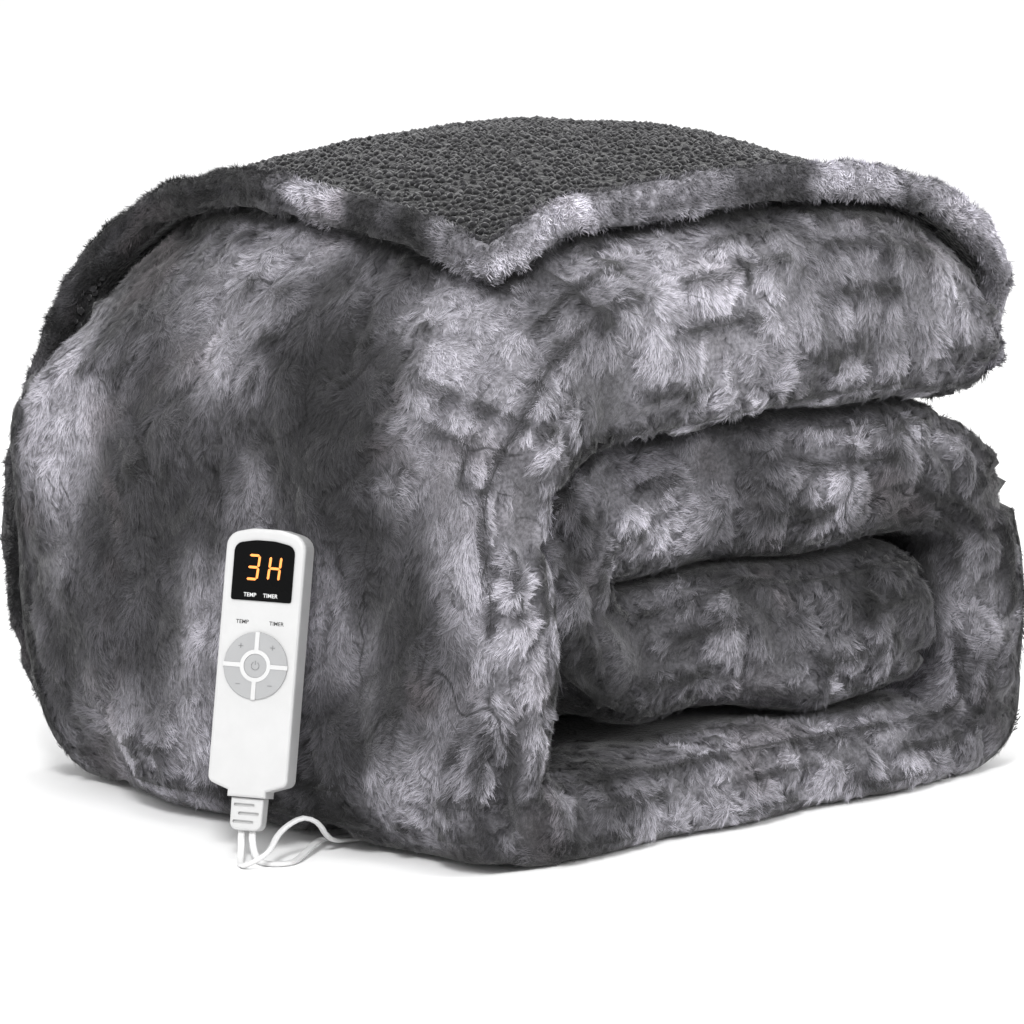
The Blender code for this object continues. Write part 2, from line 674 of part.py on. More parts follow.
def quadrant_outline(quarter):
    """Outline of one button of the wheel, between its slits."""
    slit = WHEEL_SLIT / 2
    points = []
    for radius, order in ((WHEEL_RADIUS, 1), (WHEEL_HOLE, -1)):
        edge = math.asin(slit / radius)
        steps = 12 if order > 0 else 7
        arc = [edge + (math.pi / 2 - 2 * edge) * step / steps for step in range(steps + 1)]
        for angle in arc[::order]:
            turn = angle + quarter * math.pi / 2
            points.append(Vector((radius * math.cos(turn), radius * math.sin(turn))))
    return points


def circle_outline(radius, steps):
    """Outline of a circle."""
    return [Vector((radius * math.cos(2 * math.pi * step / steps),
                    radius * math.sin(2 * math.pi * step / steps))) for step in range(steps)]


def handset_frame(parent):
    """Place the empty that carries the handset's pieces, leaning on the wall."""
    frame = bpy.data.objects.new("handset", None)
    bpy.context.scene.collection.objects.link(frame)
    turn = (Matrix.Rotation(math.radians(HANDSET_FACING), 4, "Z")
            @ Matrix.Rotation(math.radians(90 - HANDSET_LEAN), 4, "X")
            @ Matrix.Rotation(math.radians(-HANDSET_ROLL), 4, "Z"))
    frame.parent = parent
    frame.rotation_euler = turn.to_euler()
    frame.location = HANDSET_FOOT
    return frame


def build_handset(frame, white, grey, black):
    """Make the housing, window, buttons and strain relief."""
    front = HANDSET_THICK
    housing = plate_mesh("handset_housing", housing_outline(), 0.0, front, 0.0026, 3)
    add_object("handset_housing", housing, white, frame)
    window = plate_mesh("display_window", window_outline(), front + FACE_GAP,
                        front + FACE_GAP + WINDOW_PROUD)
    add_object("display_window", window, black, frame)
    wheel_y = NECK_LENGTH + HANDSET_TAPER + HANDSET_LENGTH - WHEEL_DROP
    names = ("timer_up_button", "temp_up_button", "temp_down_button", "timer_down_button")
    for quarter, name in enumerate(names):
        mesh = plate_mesh(name, quadrant_outline(quarter), front + FACE_GAP,
                          front + FACE_GAP + BUTTON_PROUD, 0.0003, 1)
        button = add_object(name, mesh, grey, frame)
        button.location = (0, wheel_y, 0)
    power = plate_mesh("power_button", circle_outline(POWER_RADIUS, 28), front + FACE_GAP,
                       front + FACE_GAP + BUTTON_PROUD, 0.0003, 1)
    add_object("power_button", power, grey, frame).location = (0, wheel_y, 0)
    build_relief(frame, white)


def build_relief(frame, finish):
    """Make the strain relief below the neck, with three staggered slots on each face."""
    half = RELIEF_WIDTH / 2
    middle = HANDSET_THICK / 2
    low, high = middle - RELIEF_THICK / 2, middle + RELIEF_THICK / 2
    outline = rounded_outline((
        (-half, -FACE_GAP, 0), (-half * 0.97, -RELIEF_LENGTH, 0.0042),
        (half * 0.97, -RELIEF_LENGTH, 0.0042), (half, -FACE_GAP, 0),
    ), 5)
    relief = add_object("strain_relief", plate_mesh("strain_relief", outline, low, high, 0.0012),
                        finish, frame)
    length, height, depth = RELIEF_SLOT
    for row in range(3):
        side = 1 if row == 1 else -1
        ends = rounded_outline((
            (-length / 2, -height / 2, height * 0.45), (length / 2, -height / 2, height * 0.45),
            (length / 2, height / 2, height * 0.45), (-length / 2, height / 2, height * 0.45),
        ), 3)
        mesh = plate_mesh("slot_cutter", ends, high - depth, high + 0.001)
        slot = bpy.data.objects.new(f"slot_cutter_{row}", mesh)
        bpy.context.scene.collection.objects.link(slot)
        slot.parent = frame
        slot.location = (side * (half - length / 2 - 0.0019), -0.0042 - row * RELIEF_PITCH, 0)
        slot.hide_render = True
        slot.display_type = "WIRE"
        cut = relief.modifiers.new(f"slot_{row}", "BOOLEAN")
        cut.object = slot
        cut.operation = "DIFFERENCE"
        cut.solver = "EXACT"


# ---------------------------------------------------------------- leads
def catmull(points, spacing):
    """Read points at an even spacing from a smooth curve through a route."""
    points = [Vector(point) for point in points]
    padded = [2 * points[0] - points[1], *points, 2 * points[-1] - points[-2]]
    fine = []
    for index in range(1, len(padded) - 2):
        before, first, second, after = padded[index - 1: index + 3]
        for step in range(24):
            t = step / 24
            fine.append(0.5 * (2 * first + (second - before) * t
                               + (2 * before - 5 * first + 4 * second - after) * t ** 2
                               + (3 * first - before - 3 * second + after) * t ** 3))
    fine.append(points[-1])
    total = sum((b - a).length for a, b in zip(fine, fine[1:]))
    count = max(round(total / spacing), 2)
    read, done, goal = [fine[0]], 0.0, total / count
    for first, second in zip(fine, fine[1:]):
        span = (second - first).length
        while span and done + span >= goal and len(read) < count:
            read.append(first.lerp(second, (goal - done) / span))
            goal += total / count
        done += span
    read.append(fine[-1])
    return read


def lead(name, route, parent, finish, spacing=3 * LEAD_WIDTH):
    """Make a lead as a round tube along a route whose two ends are straight."""
    curve = bpy.data.curves.new(name, "CURVE")
    curve.dimensions = "3D"
    curve.bevel_depth = LEAD_WIDTH / 2
    curve.bevel_resolution = 2
    curve.use_fill_caps = True
    places = [Vector(route[0]), *catmull(route[1:-1], spacing), Vector(route[-1])]
    spline = curve.splines.new("POLY")
    spline.points.add(len(places) - 1)
    for point, place in zip(spline.points, places):
        point.co = (*place, 1.0)
    piece = bpy.data.objects.new(name, curve)
    bpy.context.scene.collection.objects.link(piece)
    piece.data.materials.append(finish)
    piece.parent = parent
    return piece


def relief_exit(frame, side, drop):
    """Place a point below the strain relief's end, where a lead comes out of it."""
    local = Vector((side * 0.0031, -RELIEF_LENGTH - drop, HANDSET_THICK / 2))
    turn = frame.rotation_euler.to_matrix()
    return turn @ local + Vector(frame.location)


def coil_ring(parent, finish):
    """Make the coil's outer shape, a turned ring."""
    inner = COIL_MEAN_RADIUS - COIL_COLUMNS * COIL_PITCH / 2
    outer = COIL_MEAN_RADIUS + COIL_COLUMNS * COIL_PITCH / 2
    high = COIL_LAYERS * COIL_PITCH
    soft = COIL_PITCH * 0.45
    section = rounded_outline(((inner, 0, soft), (outer, 0, soft),
                               (outer, high, soft), (inner, high, soft)), 2)

    def build(shape):
        verts = [shape.verts.new((point.x, 0, point.y)) for point in section]
        edges = [shape.edges.new((a, b)) for a, b in zip(verts, verts[1:] + verts[:1])]
        bmesh.ops.spin(shape, geom=verts + edges, cent=(0, 0, 0), axis=(0, 0, 1),
                       angle=2 * math.pi, steps=28, use_merge=True)
    ring = add_object("mains_lead_coil", mesh_from("mains_lead_coil", build), finish, parent)
    ring.location = (*COIL_CENTRE, COIL_LIFT)
    return ring


def band_mesh(name, inner, thick, width):
    """Make a closed flat band round a rectangle, its opening along X."""
    def build(shape):
        rings = []
        for grow in (0.0, thick):
            w, h = inner[0] / 2 + grow, inner[1] / 2 + grow
            outline = rounded_outline(((-w, -h, 0.001 + grow), (w, -h, 0.001 + grow),
                                       (w, h, 0.001 + grow), (-w, h, 0.001 + grow)), 3)
            rings.append([[shape.verts.new((side * width / 2, p.x, p.y)) for p in outline]
                          for side in (-1, 1)])
        (inner_a, inner_b), (outer_a, outer_b) = rings
        for one, two in ((inner_a, inner_b), (inner_b, outer_b), (outer_b, outer_a),
                         (outer_a, inner_a)):
            for index in range(len(one)):
                following = (index + 1) % len(one)
                shape.faces.new((one[index], one[following], two[following], two[index]))
    return mesh_from(name, build)


def coil_tie(parent, finish):
    """Wrap the tie round one side of the coil."""
    angle = math.radians(TIE_ANGLE)
    wide = COIL_COLUMNS * COIL_PITCH + 2 * FACE_GAP
    high = COIL_LAYERS * COIL_PITCH + 2 * FACE_GAP
    mesh = band_mesh("coil_tie", (wide + 0.0012, high), TIE_THICK, TIE_WIDTH)
    tie = add_object("coil_tie", mesh, finish, parent)
    tie.location = (COIL_CENTRE[0] + COIL_MEAN_RADIUS * math.cos(angle),
                    COIL_CENTRE[1] + COIL_MEAN_RADIUS * math.sin(angle),
                    COIL_LIFT - FACE_GAP + high / 2)
    tie.rotation_euler = (0, 0, angle + math.pi / 2)
    return tie


def mains_plug(parent, white, metal):
    """Make the plug with its strain relief and two flat pins, lying past the coil."""
    x = COIL_SIDE_X
    half = PLUG_WIDTH / 2
    neck = LEAD_WIDTH / 2 + 0.0014
    outline = rounded_outline((
        (-neck, -PLUG_RELIEF, 0.0015), (neck, -PLUG_RELIEF, 0.0015), (neck * 1.5, -0.001, 0.002),
        (half, 0.002, 0.004), (half, PLUG_LENGTH, 0.003), (-half, PLUG_LENGTH, 0.003),
        (-half, 0.002, 0.004), (-neck * 1.5, -0.001, 0.002),
    ), 4)
    body = add_object("mains_plug", plate_mesh("mains_plug", outline, 0.0, PLUG_THICK, 0.003),
                      white, parent)
    body.location = (x, PLUG_Y, HARD_LIFT)
    wide, long, thick = PIN_SIZE
    for side, name in ((-1, "plug_pin_left"), (1, "plug_pin_right")):
        pin_outline = rounded_outline(((-thick / 2, 0, 0), (thick / 2, 0, 0),
                                       (thick / 2, long, thick * 0.3),
                                       (-thick / 2, long, thick * 0.3)), 2)
        pin = add_object(name, plate_mesh(name, pin_outline, 0.0, wide), metal, parent)
        pin.location = (x + side * PIN_SPACING / 2, PLUG_Y + PLUG_LENGTH + FACE_GAP,
                        HARD_LIFT + (PLUG_THICK - wide) / 2)
    return body


def blanket_connector(parent, finish):
    """Make the connector that plugs the lead into the blanket, behind the bundle."""
    long, wide, high = CONNECTOR_SIZE
    outline = rounded_outline(((-long / 2, -wide / 2, 0.003), (long / 2, -wide / 2, 0.003),
                               (long / 2, wide / 2, 0.003), (-long / 2, wide / 2, 0.003)), 4)
    mesh = plate_mesh("blanket_connector", outline, 0.0, high, 0.002)
    piece = add_object("blanket_connector", mesh, finish, parent)
    piece.location = (CONNECTOR_X + long / 2, CONNECTOR_Y, HARD_LIFT)
    return piece


def main():
    """Build every piece of the heated blanket."""
    for old in list(bpy.data.objects):
        bpy.data.objects.remove(old, do_unlink=True)
    fur = material("grey_fur", (0.155, 0.150, 0.160), 0.95)
    sherpa = material("charcoal_sherpa", (0.052, 0.050, 0.056), 0.98)
    white = material("white_plastic", (0.82, 0.82, 0.82), 0.32)
    grey = material("light_grey_rubber", (0.56, 0.57, 0.58), 0.55)
    black = material("black_window", (0.012, 0.012, 0.013), 0.12)
    lead_white = material("white_lead", (0.78, 0.78, 0.77), 0.42)
    metal = material("nickel", (0.62, 0.60, 0.56), 0.28, 1.0)

    whole = bpy.data.objects.new("heated_blanket", None)
    bpy.context.scene.collection.objects.link(whole)
    whole.location = ORIGIN_SHIFT

    bundle_mesh = mesh_from("fur_bundle", build_bundle)
    add_object("fur_bundle", bundle_mesh, fur, whole, 80)
    bundle_shape = bmesh.new()
    bundle_shape.from_mesh(bundle_mesh)
    tree = BVHTree.FromBMesh(bundle_shape)
    bundle_shape.free()
    layer = TurnedLayer()
    layer_mesh = mesh_from("sherpa_layer", lambda shape: layer.build(shape, tree))
    add_object("sherpa_layer", layer_mesh, sherpa, whole, 80)

    frame = handset_frame(whole)
    build_handset(frame, white, grey, black)

    drop = FACE_GAP
    mains_start = [relief_exit(frame, -1, drop), relief_exit(frame, -1, drop + 0.003)]
    blanket_start = [relief_exit(frame, 1, drop), relief_exit(frame, 1, drop + 0.003)]
    mains_end = (COIL_SIDE_X, COIL_CENTRE[1] - COIL_REACH, LEAD_REST)
    lead("mains_lead", [*mains_start, *MAINS_ROUTE, mains_end], whole, lead_white)
    blanket_end = (CONNECTOR_X - FACE_GAP, CONNECTOR_Y, BLANKET_ROUTE[-1][2])
    lead("blanket_lead", [*blanket_start, *BLANKET_ROUTE, blanket_end], whole, lead_white)
    coil_ring(whole, lead_white)
    coil_tie(whole, grey)
    mains_plug(whole, white, metal)
    tail_high = COIL_LIFT + (COIL_LAYERS - 0.5) * COIL_PITCH
    tail_start = COIL_CENTRE[1] + COIL_REACH
    tail = ((COIL_SIDE_X, tail_start, tail_high), (COIL_SIDE_X, tail_start + 0.012, tail_high),
            (COIL_SIDE_X, tail_start + 0.024, 0.0130), (COIL_SIDE_X, tail_start + 0.036, 0.0090),
            (COIL_SIDE_X, PLUG_Y - PLUG_RELIEF - FACE_GAP, HARD_LIFT + PLUG_THICK / 2))
    lead("mains_lead_tail", tail, whole, lead_white)
    blanket_connector(whole, white)


if __name__ == "__main__":
    main()
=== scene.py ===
"""Looks of the electric heated blanket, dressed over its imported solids.

Everything is in the row frame: metres, +Z up, the folded layers along X and the folds
along Y. The wall that the handset leans on faces -X and the folds show on the -Y end.
"""

from __future__ import annotations

import json
import logging
import math
from dataclasses import dataclass, field
from enum import Enum
from functools import reduce

import bmesh
import bpy
import numpy as np
from mathutils import Matrix, Vector, noise
from mathutils.bvhtree import BVHTree

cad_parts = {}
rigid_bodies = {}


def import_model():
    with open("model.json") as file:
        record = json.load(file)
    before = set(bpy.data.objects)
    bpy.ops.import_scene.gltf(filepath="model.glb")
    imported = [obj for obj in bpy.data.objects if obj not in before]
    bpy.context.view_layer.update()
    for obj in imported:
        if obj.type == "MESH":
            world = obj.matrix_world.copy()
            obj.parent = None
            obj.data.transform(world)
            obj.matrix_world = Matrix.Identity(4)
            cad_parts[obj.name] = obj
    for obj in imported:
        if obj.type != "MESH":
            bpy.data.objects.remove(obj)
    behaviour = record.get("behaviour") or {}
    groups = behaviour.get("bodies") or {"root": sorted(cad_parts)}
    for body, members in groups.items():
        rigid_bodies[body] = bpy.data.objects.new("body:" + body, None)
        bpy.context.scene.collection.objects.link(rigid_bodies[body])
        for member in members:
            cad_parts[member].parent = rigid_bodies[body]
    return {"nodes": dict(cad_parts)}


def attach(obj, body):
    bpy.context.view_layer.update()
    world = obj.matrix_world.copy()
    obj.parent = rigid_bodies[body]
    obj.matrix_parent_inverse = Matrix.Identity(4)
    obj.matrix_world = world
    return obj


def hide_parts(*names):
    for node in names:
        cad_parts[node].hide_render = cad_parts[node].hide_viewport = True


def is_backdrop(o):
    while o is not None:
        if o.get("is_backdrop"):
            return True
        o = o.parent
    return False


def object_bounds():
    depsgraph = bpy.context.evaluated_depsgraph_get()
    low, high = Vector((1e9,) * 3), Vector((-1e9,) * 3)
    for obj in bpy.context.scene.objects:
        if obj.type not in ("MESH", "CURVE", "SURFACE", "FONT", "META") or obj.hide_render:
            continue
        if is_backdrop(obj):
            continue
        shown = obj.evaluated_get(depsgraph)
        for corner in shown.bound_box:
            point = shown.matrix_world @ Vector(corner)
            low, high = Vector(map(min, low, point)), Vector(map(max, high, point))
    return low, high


LOG = logging.getLogger("heated_blanket")
SHIFT = Vector((0.02335, -0.00414, 0.0))     # from the bundle's own middle to the row frame
BAKE_UV = "OFBake"
NOISE_SEED = 3
ROUTE_STEPS = 24            # points of a smooth route between two that are given
GOLDEN_ANGLE = 2.399963
CLOTH_FLOOR = 0.0012        # no point of a cloth lies lower
PILE_FLOOR = 0.0004         # and no point of its pile
Number = float | int
Point = tuple[float, float, float]
Outline = list[tuple[float, float]]
Colour = tuple[float, float, float, float]


class Side(Enum):
    """The sides of the bundle that fur is grown on, one piece for each."""

    WALL = "wall"
    WALL_BACK = "wall_back"
    END = "end"
    ROLL = "roll"
    TOP = "top"
    TOP_BACK = "top_back"
    LOOP = "loop"
    BACK = "back"


# ------------------------------------------------------------------ node building
class Tree:
    """A node tree that is filled with short calls."""

    def __init__(self, tree: bpy.types.NodeTree) -> None:
        """Keep the tree.

        Args:
            tree: The shader or geometry tree to fill.
        """
        self.tree = tree

    def add(self, kind: str, settings: dict | None = None, **sockets: object) -> bpy.types.Node:
        """Add a node, set its properties and fill its inputs.

        Args:
            kind: The node's type name.
            settings: Properties of the node.
            **sockets: Input values or output sockets; spaces in names are underscores.

        Returns:
            The new node.
        """
        node = self.tree.nodes.new(kind)
        for name, value in (settings or {}).items():
            setattr(node, name, value)
        for name, value in sockets.items():
            self.put(self.socket(node, name), value)
        return node

    @staticmethod
    def socket(node: bpy.types.Node, name: str) -> bpy.types.NodeSocket:
        """Find an enabled input by its name, or by its place when it reads s0, s1 and so on.

        Args:
            node: The node that has the input.
            name: The name, with underscores for spaces.

        Returns:
            The input socket.
        """
        if name[0] == "s" and name[1:].isdigit():
            return node.inputs[int(name[1:])]
        wanted = name.replace("_", " ")
        return next(s for s in node.inputs if s.enabled and s.name == wanted)

    def put(self, socket: bpy.types.NodeSocket, value: object) -> None:
        """Link an output into a socket, or set the socket's own value.

        Args:
            socket: The input.
            value: An output socket or a plain value.
        """
        if isinstance(value, bpy.types.NodeSocket):
            self.tree.links.new(value, socket)
        else:
            socket.default_value = value

    def math(self, operation: str, a: object, b: object = 0.5, clamp: bool = False
             ) -> bpy.types.NodeSocket:
        """Add a Math node.

        Args:
            operation: The operation.
            a: First value or socket.
            b: Second value or socket.
            clamp: Whether to clamp to 0..1.

        Returns:
            Its output.
        """
        node = self.add("ShaderNodeMath", {"operation": operation, "use_clamp": clamp}, s0=a, s1=b)
        return node.outputs[0]

    def mix(self, factor: object, a: object, b: object) -> bpy.types.NodeSocket:
        """Mix two colours, the factor being the share of the second.

        Args:
            factor: The share.
            a: First colour or socket.
            b: Second colour or socket.

        Returns:
            The mixed colour.
        """
        node = self.add("ShaderNodeMix", {"data_type": "RGBA"})
        for place, value in ((0, factor), (6, a), (7, b)):
            self.put(node.inputs[place], value)
        return node.outputs[2]

    def range(self, value: object, low: Number, high: Number, to_low: Number = 0.0,
              to_high: Number = 1.0) -> bpy.types.NodeSocket:
        """Map a range of values smoothly onto another.

        Args:
            value: The value.
            low: Where it starts.
            high: Where it ends.
            to_low: Result at the start.
            to_high: Result at the end.

        Returns:
            The mapped value.
        """
        node = self.add("ShaderNodeMapRange", {"interpolation_type": "SMOOTHSTEP"}, Value=value,
                        From_Min=low, From_Max=high, To_Min=to_low, To_Max=to_high)
        return node.outputs[0]

    def noise(self, where: object, scale: Number, detail: Number = 2.0, rough: Number = 0.5
              ) -> bpy.types.NodeSocket:
        """Add a noise texture and give its value."""
        return self.add("ShaderNodeTexNoise", None, Vector=where, Scale=scale, Detail=detail,
                        Roughness=rough).outputs[0]

    def attribute(self, name: str) -> bpy.types.NodeSocket:
        """Read a value that is stored at the points of the mesh."""
        return self.add("ShaderNodeAttribute", {"attribute_name": name}).outputs["Fac"]

    def product(self, *factors: object) -> bpy.types.NodeSocket:
        """Multiply values with each other."""
        return reduce(lambda one, other: self.math("MULTIPLY", one, other), factors)

    def scaled(self, colour: object, factor: object) -> bpy.types.NodeSocket:
        """Make a colour lighter or darker by a factor."""
        return self.add("ShaderNodeVectorMath", {"operation": "SCALE"}, s0=colour,
                        Scale=factor).outputs[0]

    def ruffled(self, where: object, scale: Number, detail: Number, reach: Number
                ) -> bpy.types.NodeSocket:
        """Push a place aside by a noise, at most as far as its reach.

        Args:
            where: The place.
            scale: Scale of the noise.
            detail: Its detail.
            reach: The reach.

        Returns:
            The new place.
        """
        push = self.add("ShaderNodeTexNoise", None, Vector=where, Scale=scale, Detail=detail)
        return self.add("ShaderNodeVectorMath", {"operation": "MULTIPLY_ADD"},
                        s0=push.outputs[1], s1=(reach,) * 3, s2=where).outputs[0]

    def mapped(self, where: object, **values: tuple[float, float, float]
               ) -> bpy.types.NodeSocket:
        """Move, turn or stretch a place."""
        return self.add("ShaderNodeMapping", None, Vector=where, **values).outputs[0]

    def bump(self, shader: bpy.types.Node, height: object, strength: Number, depth: Number
             ) -> None:
        """Let a height raise the shader's surface."""
        node = self.add("ShaderNodeBump", None, Strength=strength, Distance=depth, Height=height)
        self.put(shader.inputs["Normal"], node.outputs[0])


def dyed_grey(value: Number) -> Colour:
    """Give a grey of the dyed pile, which leans a little to violet."""
    return (value * 1.008, value * 0.979, value * 1.085, 1.0)


def grey(value: Number, warm: Number = 0.0) -> Colour:
    """Give a grey of a lightness that leans to red, or to blue where warm is negative."""
    return (value * (1 + warm), value * (1 - abs(warm) * 0.3), value * (1 - warm), 1.0)


def new_material(name: str) -> tuple[bpy.types.Material, Tree, bpy.types.Node,
                                     bpy.types.NodeSocket]:
    """Make an empty Principled material.

    Args:
        name: Its name.

    Returns:
        The material, its tree, its shader and the place on the object.
    """
    material = bpy.data.materials.new(name)
    material.use_nodes = True
    tree = Tree(material.node_tree)
    where = tree.add("ShaderNodeTexCoord").outputs["Object"]
    return material, tree, material.node_tree.nodes["Principled BSDF"], where


def set_plain(shader: bpy.types.Node, values: dict[str, object]) -> None:
    """Set the shader's own sockets to what is the same all over the surface."""
    for name, value in values.items():
        shader.inputs[name].default_value = value


@dataclass(frozen=True)
class TieDyeAndPaintedShade:
    """The shared node group that mottles the fur from dark to light grey of its dye, and paints
    shade into thin partings of its pile.
    """

    warp: tuple[float, ...] = (11.0, 3.0, 0.07)
    clouds: tuple[tuple[float, ...], ...] = ((9.5, 1.0, 0.45, 0.80), (30.0, 2.0, 0.5, 0.20))
    cloud_range: tuple[float, float] = (0.33, 0.67)
    greys: tuple[tuple[float, float], ...] = (
        (0.0, 0.034), (0.28, 0.084), (0.52, 0.185), (0.78, 0.370), (1.0, 0.580))
    blush: Colour = (0.262, 0.218, 0.226, 1.0)
    ruffle: tuple[float, ...] = (42.0, 2.0, 0.016)
    partings: tuple[tuple[float, ...], ...] = ((17.0, 0.011, 0.38), (38.0, 0.020, 0.52))

    def make(self) -> bpy.types.NodeTree:
        """Build the group.

        Returns:
            A group that turns a place and a lift into a colour.
        """
        group = bpy.data.node_groups.new("TieDyeGreys", "ShaderNodeTree")
        for name, side, kind in (("Where", "INPUT", "Vector"), ("Lift", "INPUT", "Float"),
                                 ("Colour", "OUTPUT", "Color")):
            group.interface.new_socket(name, in_out=side, socket_type="NodeSocket" + kind)
        tree = Tree(group)
        where, lift = tree.add("NodeGroupInput").outputs[:2]
        squeezed = tree.mapped(tree.ruffled(where, *self.warp), Location=(0.0, 0.13, 0.21),
                               Scale=(1.0, 1.0, 0.75))
        both = tree.math("ADD", *(tree.product(tree.noise(squeezed, *kind), weight)
                                  for *kind, weight in self.clouds))
        cloud = tree.math("ADD", tree.range(both, *self.cloud_range), lift, clamp=True)
        ramp = tree.add("ShaderNodeValToRGB", None, Fac=cloud)
        stops = ramp.color_ramp.elements
        for place, value in self.greys:
            first, last = place == self.greys[0][0], place == self.greys[-1][0]
            stop = stops[0] if first else stops[-1] if last else stops.new(place)
            stop.color = dyed_grey(value)
        blush = tree.range(tree.noise(where, 15.0, 2.0), 0.56, 0.72, 0.0, 0.20)
        colour = tree.mix(blush, ramp.outputs[0], self.blush)
        lying = tree.mapped(tree.ruffled(where, *self.ruffle), Rotation=(0.5, 0.35, 0.0),
                            Scale=(1.0, 1.0, 0.7))
        # Painted shade: the colour darkens along thin broken lines where the pile parts.
        for scale, reach, dark in self.partings:
            ridge = tree.math("ABSOLUTE",
                              tree.math("SUBTRACT", tree.noise(lying, scale, 1.0), 0.5))
            broken = tree.range(tree.noise(where, scale * 1.3, 1.0), 0.47, 0.58)
            parting = tree.product(broken, tree.range(ridge, 0.0, reach, 1.0, 0.0))
            colour = tree.scaled(colour, tree.range(parting, 0.0, 1.0, 1.0, dark))
        tree.add("NodeGroupOutput", None, s0=colour)
        return group


@dataclass(frozen=True)
class FurFinish:
    """Long mottled pile, for its strands or for the cloth beneath them, with painted shade in it.
    """

    name: str
    strands: bool
    root_shade: float = 0.30
    bursts: tuple[float, float] | None = None
    grain: float = 420.0
    burst_scale: float = 30.0

    def make(self, dye_and_painted_shade: bpy.types.NodeTree) -> bpy.types.Material:
        """Build the material.

        Args:
            dye_and_painted_shade: The shared group with the mottled greys of the dye and the
                painted shade of the pile's partings.

        Returns:
            The material.
        """
        material, tree, shader, where = new_material(self.name)
        dyed = tree.add("ShaderNodeGroup", {"node_tree": dye_and_painted_shade}, s0=where,
                        s1=tree.attribute("lift")).outputs[0]
        if self.strands:
            # Painted shade: each hair darkens toward its root, down to root_shade, for the shade
            # deep in the pile. Each hair and tuft also has its own random tone, spread so wide
            # that the darkest hairs also stand in for shade between clumps.
            shade = tree.product(
                tree.range(tree.attribute("along"), 0.0, 0.75, self.root_shade, 1.0),
                tree.range(tree.attribute("hair"), 0.0, 0.55, 0.52, 1.12),
                tree.range(tree.attribute("tone"), 0.0, 1.0, 0.88, 1.12))
        else:
            # Painted shade: the cloth below the pile is darker than the strands, for the shade
            # deep in the pile, with a fine speckle.
            speck = tree.noise(where, self.grain, 3.0, 0.65)
            shade = tree.range(speck, 0.30, 0.72, 0.26, 0.60)
            tree.bump(shader, speck, 0.7, 0.0016)
        if self.bursts:
            patch = tree.noise(where, self.burst_scale, 1.0, 0.4)
            shade = tree.product(shade, tree.range(patch, 0.40, 0.60, *self.bursts))
        # Painted shade that the cloth stores at its points.
        shade = tree.product(shade, tree.attribute("shade"))
        tree.put(shader.inputs["Base Color"], tree.scaled(dyed, shade))
        set_plain(shader, {"Roughness": 0.66, "Specular IOR Level": 0.22, "Sheen Weight": 0.16,
                           "Sheen Roughness": 0.5})
        return material


@dataclass(frozen=True)
class SherpaFinish:
    """Dark curled pile, for its curls or for the cloth beneath them, with painted shade in the
    gaps between the curls.
    """

    name: str
    curls: bool
    dark: float = 0.006
    light: float = 0.024

    def make(self) -> bpy.types.Material:
        """Build the material.

        Returns:
            The material.
        """
        material, tree, shader, where = new_material(self.name)
        cells = tree.add("ShaderNodeTexVoronoi", {"feature": "F1"}, Vector=where, Scale=330.0,
                         Randomness=1.0).outputs["Distance"]
        fuzz = tree.noise(where, 900.0, 3.0, 0.7)
        lumps = tree.math("ADD", tree.product(cells, -1.1), tree.product(fuzz, 0.5))
        if self.curls:
            # Painted shade: each curl darkens toward its foot, in the gaps between curls; each
            # curl also has a random tone of its own.
            shade = tree.product(tree.range(tree.attribute("along"), 0.0, 0.9, 0.15, 1.0),
                                 tree.range(tree.attribute("tone"), 0.0, 1.0, 0.55, 1.0))
        else:
            # Painted shade: the cloth darkens in the hollows between its bumps.
            shade = tree.range(lumps, -0.55, 0.35, 0.0, 0.6)
        tree.put(shader.inputs["Base Color"],
                 tree.mix(shade, dyed_grey(self.dark), dyed_grey(self.light)))
        tree.bump(shader, lumps, 0.6, 0.0016)
        set_plain(shader, {"Roughness": 0.9, "Specular IOR Level": 0.15, "Sheen Weight": 0.30,
                           "Sheen Roughness": 0.5})
        return material


@dataclass(frozen=True)
class MouldedFinish:
    """Moulded plastic or rubber with a fine grain and faint handling marks."""

    name: str
    colour: Colour
    roughness: float = 0.32
    coat: float = 0.0
    metallic: float = 0.0
    specular: float = 0.5
    grain: float = 2600.0
    depth: float = 0.00003

    def make(self) -> bpy.types.Material:
        """Build the material.

        Returns:
            The material.
        """
        material, tree, shader, where = new_material(self.name)
        marks = tree.noise(where, 70.0, 4.0, 0.6)
        tree.put(shader.inputs["Base Color"],
                 tree.scaled(self.colour[:3], tree.range(marks, 0.3, 0.75, 0.97, 1.02)))
        tree.put(shader.inputs["Roughness"], tree.range(
            marks, 0.25, 0.8, self.roughness * 0.85, self.roughness * 1.15))
        tree.bump(shader, tree.noise(where, self.grain, 1.0), 0.35, self.depth)
        set_plain(shader, {"Metallic": self.metallic, "Specular IOR Level": self.specular,
                           "Coat Weight": self.coat, "Coat Roughness": 0.12})
        return material


@dataclass(frozen=True)
class LitFinish:
    """Amber light of the display's digits."""

    name: str
    colour: Colour
    strength: float

    def make(self) -> bpy.types.Material:
        """Build the material.

        Returns:
            The material.
        """
        material, tree, shader, where = new_material(self.name)
        glow = tree.range(tree.noise(where, 900.0, 2.0), 0.2, 0.8, 0.82, 1.08)
        tree.put(shader.inputs["Emission Color"], tree.scaled(self.colour[:3], glow))
        set_plain(shader, {"Emission Strength": self.strength, "Base Color": self.colour,
                           "Roughness": 0.5})
        return material


